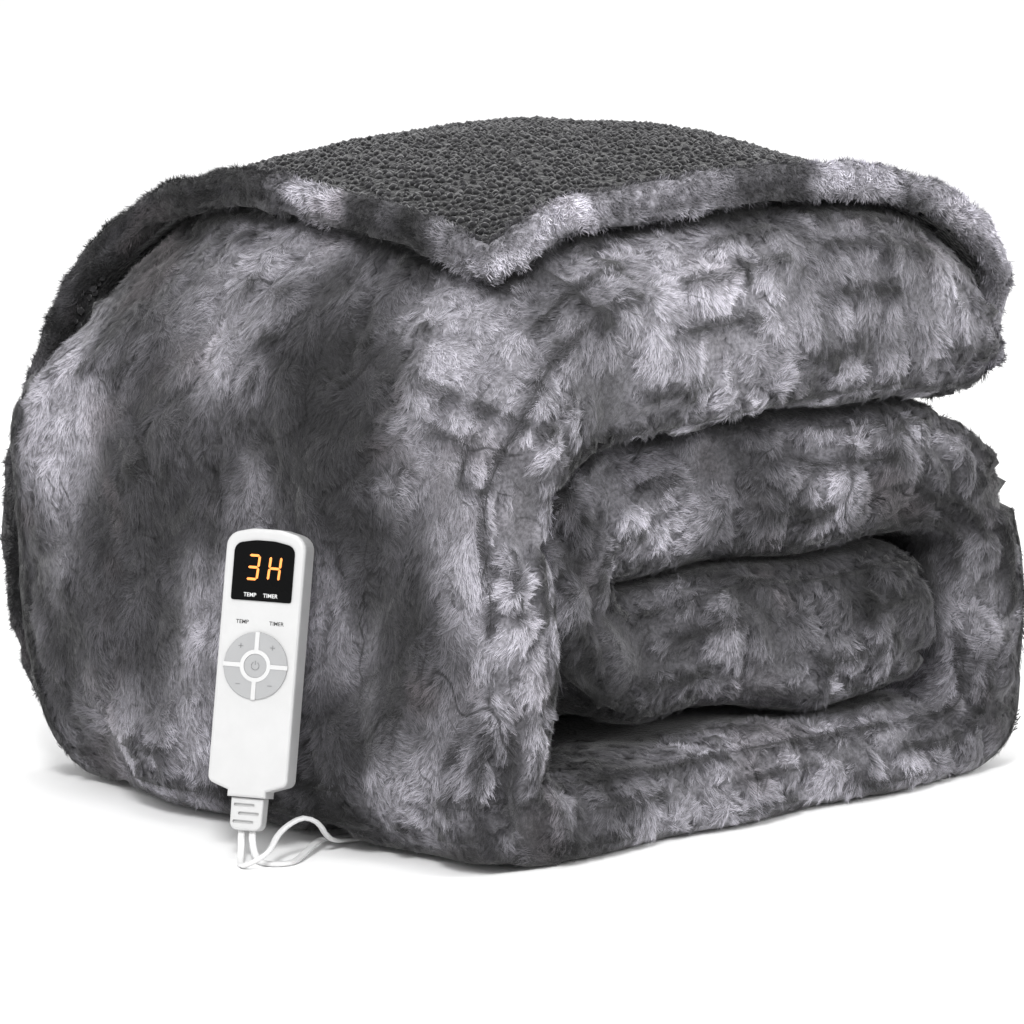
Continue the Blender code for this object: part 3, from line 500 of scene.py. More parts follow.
class Finishes:
    """Every finish of the blanket, made once."""

    def __init__(self) -> None:
        """Build the materials."""
        dye_and_painted_shade = TieDyeAndPaintedShade().make()
        self.fur_cloth = FurFinish("fur cloth", strands=False).make(dye_and_painted_shade)
        self.fur_strands = FurFinish("fur strands", strands=True).make(dye_and_painted_shade)
        self.hem_strands = FurFinish("hem fur strands", strands=True, root_shade=0.26,
                                     bursts=(0.34, 1.50)).make(dye_and_painted_shade)
        self.sherpa_cloth = SherpaFinish("sherpa cloth", curls=False).make()
        self.sherpa_curls = SherpaFinish("sherpa curls", curls=True).make()
        self.white = MouldedFinish("white satin plastic", grey(0.48), 0.34, 0.10).make()
        self.buttons = MouldedFinish("light grey buttons", grey(0.30, -0.01), 0.50).make()
        self.signs = MouldedFinish("pressed signs", grey(0.17, -0.01), 0.6).make()
        self.recess = MouldedFinish("white lines of the wheel", grey(0.50), 0.42).make()
        self.window = MouldedFinish("smoked display window", grey(0.003, -0.04), 0.30,
                                    specular=0.06).make()
        self.digits = LitFinish("amber digits", (0.86, 0.27, 0.055, 1.0), 0.80).make()
        self.white_ink = MouldedFinish("white print", grey(0.62), 0.6, specular=0.1).make()
        self.grey_ink = MouldedFinish("grey print", grey(0.045), 0.6, specular=0.1).make()
        self.lead = MouldedFinish("white lead sheath", grey(0.62), 0.42).make()
        self.tie = MouldedFinish("grey tie", grey(0.34), 0.62).make()
        self.nickel = MouldedFinish("nickel pins", (0.66, 0.64, 0.60, 1.0), 0.24,
                                    metallic=1.0).make()


# ------------------------------------------------------------------ meshes
def placed(name: str, data: bpy.types.ID) -> bpy.types.Object:
    """Put a mesh or a text in the scene as it is.

    Args:
        name: Name of the piece.
        data: Its mesh or text.

    Returns:
        The piece.
    """
    piece = bpy.data.objects.new(name, data)
    bpy.context.scene.collection.objects.link(piece)
    return piece


def link(name: str, mesh: bpy.types.Mesh, material: bpy.types.Material) -> bpy.types.Object:
    """Put a mesh of the row frame in the scene with its finish.

    Args:
        name: Name of the piece.
        mesh: Its mesh.
        material: Its finish.

    Returns:
        The piece.
    """
    mesh.materials.clear()
    mesh.materials.append(material)
    return placed(name, mesh)


def on_body(piece: bpy.types.Object) -> None:
    """Let a piece ride on the body."""
    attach(piece, "root")


def mesh_of(name: str, shape: bmesh.types.BMesh, smooth: bool = False) -> bpy.types.Mesh:
    """Keep a finished shape as a mesh.

    Args:
        name: The mesh's name.
        shape: The shape, which is freed.
        smooth: Whether its faces are shaded smooth.

    Returns:
        The mesh.
    """
    mesh = bpy.data.meshes.new(name)
    shape.to_mesh(mesh)
    shape.free()
    if smooth:
        mesh.shade_smooth()
    return mesh


def baked(piece: bpy.types.Object) -> bpy.types.Mesh:
    """Turn a piece with its modifiers into a plain mesh of its own, and drop the piece.

    Args:
        piece: The piece, which is removed.

    Returns:
        The mesh.
    """
    bpy.context.view_layer.update()
    graph = bpy.context.evaluated_depsgraph_get()
    mesh = bpy.data.meshes.new_from_object(piece.evaluated_get(graph))
    bpy.data.objects.remove(piece)
    return mesh


def merged_copy(node: bpy.types.Object) -> bpy.types.Mesh:
    """Copy a solid's mesh with its doubled points joined.

    Args:
        node: The solid.

    Returns:
        The copy.
    """
    shape = bmesh.new()
    shape.from_mesh(node.data)
    bmesh.ops.remove_doubles(shape, verts=shape.verts, dist=1e-5)
    bmesh.ops.recalc_face_normals(shape, faces=shape.faces)
    return mesh_of(node.name + "_copy", shape)


def refined(node: bpy.types.Object, levels: int) -> bpy.types.Mesh:
    """Round off a soft solid's mesh by subdividing it a number of times.

    Args:
        node: The solid.
        levels: How often it is subdivided.

    Returns:
        The rounded mesh.
    """
    rough = placed(node.name + "_rough", merged_copy(node))
    smooth = rough.modifiers.new("round", "SUBSURF")
    smooth.levels = smooth.render_levels = levels
    return baked(rough)


def collected(name: str, shapes: list[bmesh.types.BMesh]) -> bpy.types.Collection:
    """Keep small shapes in a collection of their own, from which they are scattered.

    Args:
        name: The collection's name.
        shapes: The shapes, which are freed.

    Returns:
        The collection.
    """
    group = bpy.data.collections.new(name)
    bpy.context.scene.collection.children.link(group)
    for number, shape in enumerate(shapes):
        mesh = mesh_of(f"{name}_{number}", shape, smooth=True)
        group.objects.link(bpy.data.objects.new(mesh.name, mesh))
    return group


def drop_collection(group: bpy.types.Collection) -> None:
    """Remove a collection with the shapes in it.

    Args:
        group: The collection.
    """
    for piece in list(group.objects):
        bpy.data.objects.remove(piece)
    bpy.data.collections.remove(group)


def points_of(mesh: bpy.types.Mesh) -> tuple[np.ndarray, np.ndarray]:
    """Read a mesh's points and their normals.

    Args:
        mesh: The mesh.

    Returns:
        Two arrays of N by 3.
    """
    count = len(mesh.vertices)
    places, normals = np.zeros(count * 3, np.float32), np.zeros(count * 3, np.float32)
    mesh.vertices.foreach_get("co", places)
    mesh.vertex_normals.foreach_get("vector", normals)
    return places.reshape(-1, 3), normals.reshape(-1, 3)


def store(mesh: bpy.types.Mesh, name: str, values: np.ndarray) -> None:
    """Store a value or a vector at every point of a mesh.

    Args:
        mesh: The mesh.
        name: The attribute's name.
        values: N values, or N by 3 for vectors.
    """
    kind = "FLOAT_VECTOR" if values.ndim == 2 else "FLOAT"
    layer = mesh.attributes.get(name) or mesh.attributes.new(name, kind, "POINT")
    layer.data.foreach_set("vector" if values.ndim == 2 else "value",
                           np.ascontiguousarray(values, np.float32).ravel())


def forget(mesh: bpy.types.Mesh, *names: str) -> None:
    """Remove stored values that nothing reads any more.

    Args:
        mesh: The mesh.
        names: Names of the values.
    """
    for name in names:
        if name in mesh.attributes:
            mesh.attributes.remove(mesh.attributes[name])


def move_points(mesh: bpy.types.Mesh, places: np.ndarray) -> None:
    """Put a mesh's points at N by 3 places."""
    mesh.vertices.foreach_set("co", np.ascontiguousarray(places, np.float32).ravel())
    mesh.update()


def smoothstep(value: np.ndarray, low: float, high: float) -> np.ndarray:
    """Rise smoothly from 0 at low to 1 at high."""
    share = np.clip((value - low) / (high - low), 0.0, 1.0)
    return share * share * (3 - 2 * share)


def rough_field(places: np.ndarray, size: float, offset: float = 0.0) -> np.ndarray:
    """Read smooth noise at many points.

    Args:
        places: N by 3 points.
        size: Size of its lumps in metres.
        offset: Picks another field.

    Returns:
        N values of about -1 to 1.
    """
    shift = Vector((offset, offset * 1.7, -offset))
    return np.array([noise.noise(Vector(p) / size + shift) for p in places.tolist()])


def vector_field(places: np.ndarray, size: float, offset: float = 0.0) -> np.ndarray:
    """Read a smooth vector noise at many points, N by 3."""
    shift = Vector((offset, -offset, offset * 1.3))
    return np.array([noise.noise_vector(Vector(p) / size + shift) for p in places.tolist()])


def plain_bake_map(mesh: bpy.types.Mesh) -> None:
    """Give a piece of many loose strands a bake map laid out from where they stand.

    Args:
        mesh: The piece's mesh.
    """
    places, normals = points_of(mesh)
    low, high = places.min(0), places.max(0)
    span = np.maximum(high - low, 1e-4)
    loops = np.zeros(len(mesh.loops), np.int32)
    mesh.loops.foreach_get("vertex_index", loops)
    order = np.argsort(span)[::-1][:2]
    flat = (places[:, order] - low[order]) / span[order] * 0.98 + 0.01
    layer = mesh.uv_layers.get(BAKE_UV) or mesh.uv_layers.new(name=BAKE_UV)
    layer.uv.foreach_set("vector", np.ascontiguousarray(flat[loops], np.float32).ravel())


# ------------------------------------------------------------------ tufts and curls
@dataclass
class TuftShapes:
    """Small tufts of fine hairs that are scattered over the cloth, leaning along their X."""

    length: float = 0.0066
    width: float = 0.00050
    radius: float = 0.0032
    hairs: int = 24
    rise: float = 0.27
    sway: float = 0.16
    gather: float = 75.0
    variants: int = 8
    seed: int = 7

    ROOT = -0.0005              # a hair starts this far below the cloth
    BACK = 0.35                 # and this share of its length behind the tuft's middle

    def tuft(self, chance: np.random.Generator) -> bmesh.types.BMesh:
        """Build one tuft, each hair a slim triangle that stores its share of the way up.

        Args:
            chance: The random draws.

        Returns:
            The shape.
        """
        shape = bmesh.new()
        along, own = (shape.verts.layers.float.new(layer) for layer in ("along", "hair"))
        for hair in range(self.hairs):
            angle = GOLDEN_ANGLE * hair + chance.uniform(0, 0.8)
            reach = self.radius * math.sqrt((hair + chance.uniform(0.1, 1.0)) / self.hairs)
            length = self.length * chance.uniform(0.72, 1.25)
            root = Vector((reach * math.cos(angle) - self.length * self.BACK,
                           reach * math.sin(angle), self.ROOT))
            turn = Matrix.Rotation(chance.normal(0, self.sway) - root.y * self.gather, 3, "Z")
            half = self.width / 2 * chance.uniform(0.8, 1.25)
            tone = chance.uniform()
            rise = self.rise * chance.uniform(0.55, 1.4)
            verts = []
            for x, y, z, share in ((0, -half, 0, 0.0), (length, 0, rise * length, 1.0),
                                   (0, half, 0, 0.0)):
                verts.append(shape.verts.new(root + turn @ Vector((x, y, z))))
                verts[-1][along] = share
                verts[-1][own] = tone
            shape.faces.new(verts)
        shape.normal_update()
        for face in shape.faces:
            if face.normal.z < 0:
                face.normal_flip()
        return shape

    def make(self, name: str) -> bpy.types.Collection:
        """Build the tufts in a collection of their own."""
        chance = np.random.default_rng(self.seed)
        return collected(name, [self.tuft(chance) for _ in range(self.variants)])


@dataclass
class CurlShapes:
    """Small curled nubs of the sherpa pile."""

    radius: float = 0.0023
    height: float = 0.0025
    corners: int = 5
    variants: int = 4
    seed: int = 11

    RINGS = ((-0.15, 0.85), (0.45, 1.05))       # height and reach of a nub's two rings

    def nub(self, chance: np.random.Generator) -> bmesh.types.BMesh:
        """Build one nub, two rings of corners and a top.

        Args:
            chance: The random draws.

        Returns:
            The shape.
        """
        shape = bmesh.new()
        layer = shape.verts.layers.float.new("along")
        rings = []
        for up, out in self.RINGS:
            rings.append([])
            for corner in range(self.corners):
                angle = 2 * math.pi * corner / self.corners + up
                reach = self.radius * out * chance.uniform(0.7, 1.25)
                vert = shape.verts.new((reach * math.cos(angle), reach * math.sin(angle),
                                        self.height * (up + chance.uniform(-0.1, 0.1))))
                vert[layer] = max(up, 0.0)
                rings[-1].append(vert)
        top = shape.verts.new((chance.uniform(-0.5, 0.5) * self.radius,
                               chance.uniform(-0.5, 0.5) * self.radius, self.height))
        top[layer] = 1.0
        for index in range(self.corners):
            after = (index + 1) % self.corners
            shape.faces.new((rings[0][index], rings[0][after], rings[1][after],
                             rings[1][index]))
            shape.faces.new((rings[1][index], rings[1][after], top))
        return shape

    def make(self, name: str) -> bpy.types.Collection:
        """Build the nubs in a collection of their own."""
        chance = np.random.default_rng(self.seed)
        return collected(name, [self.nub(chance) for _ in range(self.variants)])


class Scatter:
    """Geometry Nodes that scatter tufts or curls over a cloth, along its flow."""

    INPUTS = (("Geometry", "Geometry"), ("Tufts", "Collection"), ("Spacing", "Float"),
              ("Density", "Float"), ("Yaw", "Float"), ("Pitch", "Float"), ("Small", "Float"),
              ("Large", "Float"), ("Seed", "Int"), ("Finish", "Material"))

    def __init__(self) -> None:
        """Build the tree once."""
        self.group = bpy.data.node_groups.new("ScatterPile", "GeometryNodeTree")
        face = self.group.interface
        for name, kind in self.INPUTS:
            face.new_socket(name, in_out="INPUT", socket_type="NodeSocket" + kind)
        face.new_socket("Geometry", in_out="OUTPUT", socket_type="NodeSocketGeometry")
        self.build(Tree(self.group))

    @staticmethod
    def named(tree: Tree, name: str, kind: str) -> bpy.types.NodeSocket:
        """Read a stored attribute."""
        node = tree.add("GeometryNodeInputNamedAttribute", {"data_type": kind}, Name=name)
        return next(s for s in node.outputs if s.enabled and s.name == "Attribute")

    @staticmethod
    def chance(tree: Tree, seed: object, offset: int, low: object, high: object
               ) -> bpy.types.NodeSocket:
        """Draw a random number between two values for every tuft.

        Args:
            tree: The tree.
            seed: The tree's seed.
            offset: Tells this draw from others.
            low: Lowest value.
            high: Highest value.

        Returns:
            The number.
        """
        node = tree.add("FunctionNodeRandomValue", {"data_type": "FLOAT"}, Min=low, Max=high,
                        Seed=tree.math("ADD", seed, float(offset)))
        return next(s for s in node.outputs if s.enabled)

    def build(self, tree: Tree) -> None:
        """Fill the empty tree.

        Args:
            tree: The tree.
        """
        given = {s.name: s for s in tree.add("NodeGroupInput").outputs}
        seed, pitch, yaw = given["Seed"], given["Pitch"], given["Yaw"]
        spots = tree.add("GeometryNodeDistributePointsOnFaces", {"distribute_method": "POISSON"},
                         Mesh=given["Geometry"], Distance_Min=given["Spacing"],
                         Density_Max=given["Density"],
                         Density_Factor=self.named(tree, "cover", "FLOAT"), Seed=seed)
        upright = tree.add("FunctionNodeAlignRotationToVector", {"axis": "Z"},
                           Vector=spots.outputs["Normal"])
        along = tree.add("FunctionNodeAlignRotationToVector", {"axis": "X", "pivot_axis": "Z"},
                         Rotation=upright.outputs[0],
                         Vector=self.named(tree, "flow", "FLOAT_VECTOR"))
        angles = tree.add("ShaderNodeCombineXYZ", None,
                          Y=self.chance(tree, seed, 1, tree.product(pitch, -1.0), pitch),
                          Z=self.chance(tree, seed, 2, tree.product(yaw, -1.0), yaw))
        turn = tree.add("FunctionNodeEulerToRotation", None, Euler=angles.outputs[0])
        turned = tree.add("FunctionNodeRotateRotation", {"rotation_space": "LOCAL"},
                          Rotation=along.outputs[0], Rotate_By=turn.outputs[0])
        size = tree.product(self.chance(tree, seed, 3, given["Small"], given["Large"]),
                            self.named(tree, "growth", "FLOAT"))
        pick = tree.add("GeometryNodeCollectionInfo", {"transform_space": "ORIGINAL"},
                        Collection=given["Tufts"], Separate_Children=True, Reset_Children=True)
        put = tree.add("GeometryNodeInstanceOnPoints", None, Points=spots.outputs["Points"],
                       Instance=pick.outputs[0], Pick_Instance=True,
                       Rotation=turned.outputs[0], Scale=size)
        toned = tree.add("GeometryNodeStoreNamedAttribute",
                         {"data_type": "FLOAT", "domain": "INSTANCE"},
                         Geometry=put.outputs[0], Name="tone",
                         Value=self.chance(tree, seed, 4, 0.0, 1.0))
        real = tree.add("GeometryNodeRealizeInstances", None, Geometry=toned.outputs[0])
        dressed = tree.add("GeometryNodeSetMaterial", None, Geometry=real.outputs[0],
                           Material=given["Finish"])
        tree.add("NodeGroupOutput", None, Geometry=dressed.outputs[0])

    def grow(self, name: str, cloth: bpy.types.Mesh, cover: np.ndarray, **values: object
             ) -> bpy.types.Object:
        """Scatter over a cloth and keep the result as a plain piece.

        Args:
            name: The new piece's name.
            cloth: The mesh to grow on, with its flow and growth stored.
            cover: How densely each point is covered, 0 to 1.
            **values: Inputs of the tree by name.

        Returns:
            The new piece.
        """
        store(cloth, "cover", cover)
        ground = placed(name + "_ground", cloth)
        pile = ground.modifiers.new("pile", "NODES")
        pile.node_group = self.group
        for item in self.group.interface.items_tree:
            if item.in_out == "INPUT" and item.name in values:
                pile[item.identifier] = values[item.name]
        mesh = baked(ground)
        forget(mesh, "flow", "growth", "cover")
        mesh.name = name
        places, _ = points_of(mesh)
        places[:, 2] = np.maximum(places[:, 2], PILE_FLOOR)
        move_points(mesh, places)
        plain_bake_map(mesh)
        LOG.info("%s: %d faces", name, len(mesh.polygons))
        return placed(name, mesh)


# ------------------------------------------------------------------ view and stage
@dataclass(frozen=True)
class View:
    """The photograph's camera: far off, a little above, facing the front corner."""

    target: Point = (0.02335, -0.00414, 0.17)
    distance: float = 4.5
    elevation: float = 9.3
    azimuth: float = -45.5
    focal_pixels: float = 8007.0
    middle: tuple[float, float] = (510.0, 475.0)
    frame: float = 1024.0       # side of the photograph in pixels
    sensor: float = 36.0

    def back(self) -> Vector:
        """Give the direction from the object to the camera.

        Returns:
            A vector of length 1.
        """
        turn, rise = math.radians(self.azimuth), math.radians(self.elevation)
        return Vector((math.sin(turn) * math.cos(rise), -math.cos(turn) * math.cos(rise),
                       math.sin(rise)))

    def make(self) -> None:
        """Set up the scene's camera."""
        lens = bpy.data.cameras.new("camera")
        lens.sensor_width = self.sensor
        lens.lens = self.sensor * self.focal_pixels / self.frame
        lens.shift_x = (self.frame / 2 - self.middle[0]) / self.frame
        lens.shift_y = (self.middle[1] - self.frame / 2) / self.frame
        lens.clip_end = 50.0
        camera = placed("camera", lens)
        camera.location = Vector(self.target) + self.back() * self.distance
        camera.rotation_euler = self.back().to_track_quat("Z", "Y").to_euler()
        bpy.context.scene.camera = camera


@dataclass(frozen=True)
class Studio:
    """Pale floor and soft white light."""

    half: float = 6.0
    sky: float = 1.0
    target: Point = (0.0, 0.0, 0.18)
    lamps: tuple[tuple[str, Point, float, float], ...] = (
        ("key", (-2.4, -1.9, 2.7), 0.8, 110.0), ("fill", (1.3, -2.9, 1.9), 1.4, 56.0),
        ("top", (0.2, 0.2, 3.0), 1.4, 25.0))

    def floor(self) -> None:
        """Make the floor and mark it as stage."""
        material, tree, shader, where = new_material("pale floor")
        tree.put(shader.inputs["Base Color"],
                 tree.mix(tree.noise(where, 3.0, 2.0), grey(0.90), grey(0.915)))
        set_plain(shader, {"Roughness": 0.75})
        mesh = bpy.data.meshes.new("floor")
        half = self.half
        mesh.from_pydata([(-half, -half, 0), (half, -half, 0), (half, half, 0), (-half, half, 0)],
                         [], [(0, 1, 2, 3)])
        link("floor", mesh, material)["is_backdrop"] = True

    def lamp(self, name: str, place: Point, size: float, power: float) -> None:
        """Add a soft square lamp that faces the object.

        Args:
            name: Its name.
            place: Where it stands.
            size: Its side in metres.
            power: Its power in watts.
        """
        light = bpy.data.lights.new(name, "AREA")
        light.shape, light.size, light.energy = "SQUARE", size, power
        lamp = placed(name, light)
        lamp.location = place
        way = Vector(place) - Vector(self.target)
        lamp.rotation_euler = way.to_track_quat("Z", "Y").to_euler()

    def make(self) -> None:
        """Set up the floor, the sky and the lamps."""
        self.floor()
        world = bpy.data.worlds.new("studio")
        world.use_nodes = True
        sky = world.node_tree.nodes["Background"]
        sky.inputs[0].default_value = (1.0, 1.0, 1.0, 1.0)
        sky.inputs[1].default_value = self.sky
        bpy.context.scene.world = world
        bpy.context.scene.view_settings.view_transform = "Standard"
        for lamp in self.lamps:
            self.lamp(*lamp)


# ------------------------------------------------------------------ leads
@dataclass(frozen=True)
class HandsetPose:
    """Where the handset leans on the wall of the bundle."""

    foot: Point = (-0.2583, -0.0615, 0.0318)
    facing: float = -63.0
    lean: float = 11.5
    roll: float = 1.2
    thick: float = 0.0150
    relief_length: float = 0.0178
    lead_offset: float = 0.0031

    def matrix(self) -> Matrix:
        """Give the handset's own frame: X to its right, Y up along it, Z out of its front.

        Returns:
            The matrix from its frame to the row frame.
        """
        return (Matrix.Translation(Vector(self.foot) + SHIFT)
                @ Matrix.Rotation(math.radians(self.facing), 4, "Z")
                @ Matrix.Rotation(math.radians(90 - self.lean), 4, "X")
                @ Matrix.Rotation(math.radians(-self.roll), 4, "Z"))

    def lead_exit(self, side: int, drop: float) -> Vector:
        """Place a point of a lead's straight start below the strain relief.

        Args:
            side: -1 for the left lead, 1 for the right.
            drop: Distance below the relief.

        Returns:
            The point in the row frame.
        """
        return self.matrix() @ Vector((side * self.lead_offset, -self.relief_length - drop,
                                       self.thick / 2))


def smooth_route(route: list[Vector], spacing: float) -> list[Vector]:
    """Read evenly spaced points from a smooth curve through a route.

    Args:
        route: The points it passes.
        spacing: About how far apart the result's points are.

    Returns:
        The points.
    """
    padded = [2 * route[0] - route[1], *route, 2 * route[-1] - route[-2]]
    fine = []
    for index in range(1, len(padded) - 2):
        before, first, second, after = padded[index - 1: index + 3]
        for t in np.arange(ROUTE_STEPS) / ROUTE_STEPS:
            fine.append(0.5 * (2 * first + (second - before) * t
                               + (2 * before - 5 * first + 4 * second - after) * t ** 2
                               + (3 * first - before - 3 * second + after) * t ** 3))
    fine.append(route[-1])
    steps = np.array([(b - a).length for a, b in zip(fine, fine[1:])])
    along = np.concatenate([[0.0], np.cumsum(steps)])
    count = max(round(along[-1] / spacing), 2)
    wanted = np.linspace(0.0, along[-1], count + 1)
    table = np.array(fine)
    return [Vector(p) for p in np.stack([np.interp(wanted, along, table[:, axis])
                                         for axis in range(3)], 1).tolist()]


def route_length(path: list[Vector]) -> float:
    """Give a path's length."""
    return sum((b - a).length for a, b in zip(path, path[1:]))


@dataclass
class FlatLead:
    """A white flat twin lead: two round cores side by side with a groove between them."""

    width: float = 0.0040
    thick: float = 0.0025
    arc_steps: int = 6
    rest: float = 0.0021        # height of the middle of the round solid where it lies
    clear: float = 0.0004
    settle: float = 0.004
    untwist: float = 0.22

    def section(self) -> Outline:
        """Give the outline of its cut, wide along its first axis.

        Returns:
            The points in order.
        """
        core = self.thick / 2
        apart = self.width / 2 - core
        waist = math.acos(apart / core)
        half = []
        for step in range(self.arc_steps + 1):
            angle = -(math.pi - waist) + 2 * (math.pi - waist) * step / self.arc_steps
            half.append((apart + core * math.cos(angle), core * math.sin(angle)))
        return half + [(-x, -y) for x, y in half[1:-1]]

    def lowered(self, point: Vector) -> Vector:
        """Let a point that rests on the floor sink, since the lead is flatter than wide.

        Args:
            point: The point on the middle of the round solid.

        Returns:
            The flat lead's point.
        """
        share = min(max((point.z - self.rest) / self.settle, 0.0), 1.0)
        sink = self.rest - self.thick / 2 - self.clear
        return Vector((point.x, point.y, point.z - sink * (1 - share)))

    def sides(self, path: list[Vector], first: Vector) -> list[Vector]:
        """Turn the wide side smoothly from its start to lying flat.

        Args:
            path: The lead's middle.
            first: The wide side's direction at the start.

        Returns:
            One direction for each point.
        """
        side, found = first.normalized(), []
        for index, point in enumerate(path):
            ahead = (path[min(index + 1, len(path) - 1)] - path[max(index - 1, 0)]).normalized()
            flat = ahead.cross(Vector((0, 0, 1)))
            side = (side - ahead * side.dot(ahead)).normalized()
            if flat.length > 0.5:
                flat.normalize()
                if flat.dot(side) < 0:
                    flat.negate()
                side = side.lerp(flat, self.untwist * flat.length).normalized()
            found.append(side.copy())
        return found

    def make(self, name: str, path: list[Vector], first: Vector, material: bpy.types.Material
             ) -> bpy.types.Object:
        """Sweep the lead's outline along its path.

        Args:
            name: The piece's name.
            path: The lead's middle.
            first: The wide side's direction at the start.
            material: Its finish.

        Returns:
            The lead.
        """
        shape = bmesh.new()
        outline, rings = self.section(), []
        for index, side in enumerate(self.sides(path, first)):
            ahead = (path[min(index + 1, len(path) - 1)] - path[max(index - 1, 0)]).normalized()
            across = ahead.cross(side).normalized()
            rings.append([shape.verts.new(path[index] + side * x + across * y)
                          for x, y in outline])
        for one, two in zip(rings, rings[1:]):
            for index in range(len(outline)):
                after = (index + 1) % len(outline)
                shape.faces.new((one[index], one[after], two[after], two[index]))
        shape.faces.new(rings[0][::-1])
        shape.faces.new(rings[-1])
        bmesh.ops.recalc_face_normals(shape, faces=shape.faces)
        return link(name, mesh_of(name, shape, smooth=True), material)


@dataclass
class Leads:
    """The two leads of the handset, the coil of the spare mains lead and its plug."""

    nodes: dict[str, bpy.types.Object]
    finishes: Finishes
    pose: HandsetPose = HandsetPose()
    flat: FlatLead = field(default_factory=FlatLead)
    coil_centre: tuple[float, float] = (0.2530, 0.0620)
    coil_radius: float = 0.0230
    columns: int = 3
    layers: int = 4
    pitch: float = 0.0042
    coil_lift: float = 0.0016
    turn_steps: int = 26
    crossing: float = 0.72      # share of a turn after which it moves over to the next
    drops: tuple[float, float] = (-0.0012, 0.0033)
    spacing: float = 0.0045
    tail_spacing: float = 0.006
    mains_length: float = 2.54
    blanket_length: float = 0.52

    MAINS = (
        (-0.2719, -0.0654, 0.0074), (-0.2753, -0.0685, 0.0038), (-0.2794, -0.0724, 0.0023),
        (-0.2835, -0.0772, 0.0021),
        (-0.2868, -0.0833, 0.0024), (-0.2852, -0.0890, 0.0048), (-0.2795, -0.0920, 0.0084),
        (-0.2720, -0.0895, 0.0114), (-0.2640, -0.0850, 0.0148), (-0.2545, -0.0832, 0.0190),
        (-0.2440, -0.0845, 0.0218), (-0.2350, -0.0862, 0.0180), (-0.2280, -0.0850, 0.0108),
        (-0.2200, -0.0825, 0.0060), (-0.2090, -0.0800, 0.0042), (-0.1950, -0.0790, 0.0028),
        (-0.1750, -0.0790, 0.0021), (-0.0500, -0.0790, 0.0021), (0.0700, -0.0790, 0.0021),
        (0.1800, -0.0790, 0.0021), (0.2350, -0.0790, 0.0021), (0.2580, -0.0765, 0.0021),
        (0.2725, -0.0640, 0.0021), (0.2788, -0.0430, 0.0021), (0.2802, -0.0100, 0.0021),
        (0.2802, 0.0466, 0.0021),
    )
    TAIL = ((0.2802, 0.0774, 0.0163), (0.2802, 0.0894, 0.0163), (0.2802, 0.1014, 0.0130),
            (0.2802, 0.1134, 0.0090), (0.2802, 0.1257, 0.0087))
    BLANKET = (
        (-0.2686, -0.0713, 0.0074), (-0.2706, -0.0754, 0.0038), (-0.2727, -0.0805, 0.0023),
        (-0.2732, -0.0857, 0.0021), (-0.2710, -0.0904, 0.0021), (-0.2667, -0.0934, 0.0021),
        (-0.2592, -0.0931, 0.0021), (-0.2501, -0.0890, 0.0028), (-0.2410, -0.0849, 0.0042),
        (-0.2320, -0.0804, 0.0052), (-0.2230, -0.0752, 0.0050), (-0.2130, -0.0705, 0.0040),
        (-0.2020, -0.0675, 0.0030), (-0.1900, -0.0662, 0.0023), (-0.1750, -0.0660, 0.0021),
        (-0.0500, -0.0660, 0.0021), (0.0700, -0.0660, 0.0021), (0.1400, -0.0660, 0.0021),
        (0.1700, -0.0660, 0.0034), (0.1950, -0.0660, 0.0045), (0.2099, -0.0660, 0.0045),
    )

    def coil(self) -> list[Vector]:
        """Wind the spare lead in columns and layers, each turn a diameter from the last.

        Returns:
            The points of every turn, before the shift into the row frame.
        """
        places = []
        for layer in range(self.layers):
            order = range(self.columns) if layer % 2 else range(self.columns - 1, -1, -1)
            places += [(column, layer) for column in order]
        points = []
        for turn in range(len(places)):
            column, layer = places[turn]
            later = places[min(turn + 1, len(places) - 1)]
            for step in range(self.turn_steps):
                share = step / self.turn_steps
                move = max(0.0, (share - self.crossing) / (1 - self.crossing))
                move = move * move * (3 - 2 * move)
                out = column + (later[0] - column) * move
                up = layer + (later[1] - layer) * move
                radius = self.coil_radius + (out - (self.columns - 1) / 2) * self.pitch
                angle = 2 * math.pi * share
                points.append(Vector((self.coil_centre[0] + radius * math.cos(angle),
                                      self.coil_centre[1] + radius * math.sin(angle),
                                      self.coil_lift + (up + 0.5) * self.pitch)))
        outer = self.coil_radius + (self.columns - 1) / 2 * self.pitch
        points.append(Vector((self.coil_centre[0] + outer, self.coil_centre[1],
                              self.coil_lift + (self.layers - 0.5) * self.pitch)))
        return points

    def laid(self, side: int, route: tuple[Point, ...]) -> list[Vector]:
        """Lead a route out of the strain relief and over the floor.

        Args:
            side: -1 for the left lead, 1 for the right.
            route: The points that it passes, before the shift into the row frame.

        Returns:
            The lead's middle.
        """
        start = [self.pose.lead_exit(side, drop) for drop in self.drops]
        floor = [self.flat.lowered(Vector(p)) + SHIFT for p in route]
        return smooth_route([*start, *floor], self.spacing)

    def mains_path(self) -> list[Vector]:
        """Give the mains lead from the strain relief to the plug.

        Returns:
            The lead's middle.
        """
        coil = [p + SHIFT for p in self.coil()]
        tail = [coil[-1], *(Vector(p) + SHIFT for p in self.TAIL)]
        return self.laid(-1, self.MAINS) + coil + smooth_route(tail, self.tail_spacing)[1:]

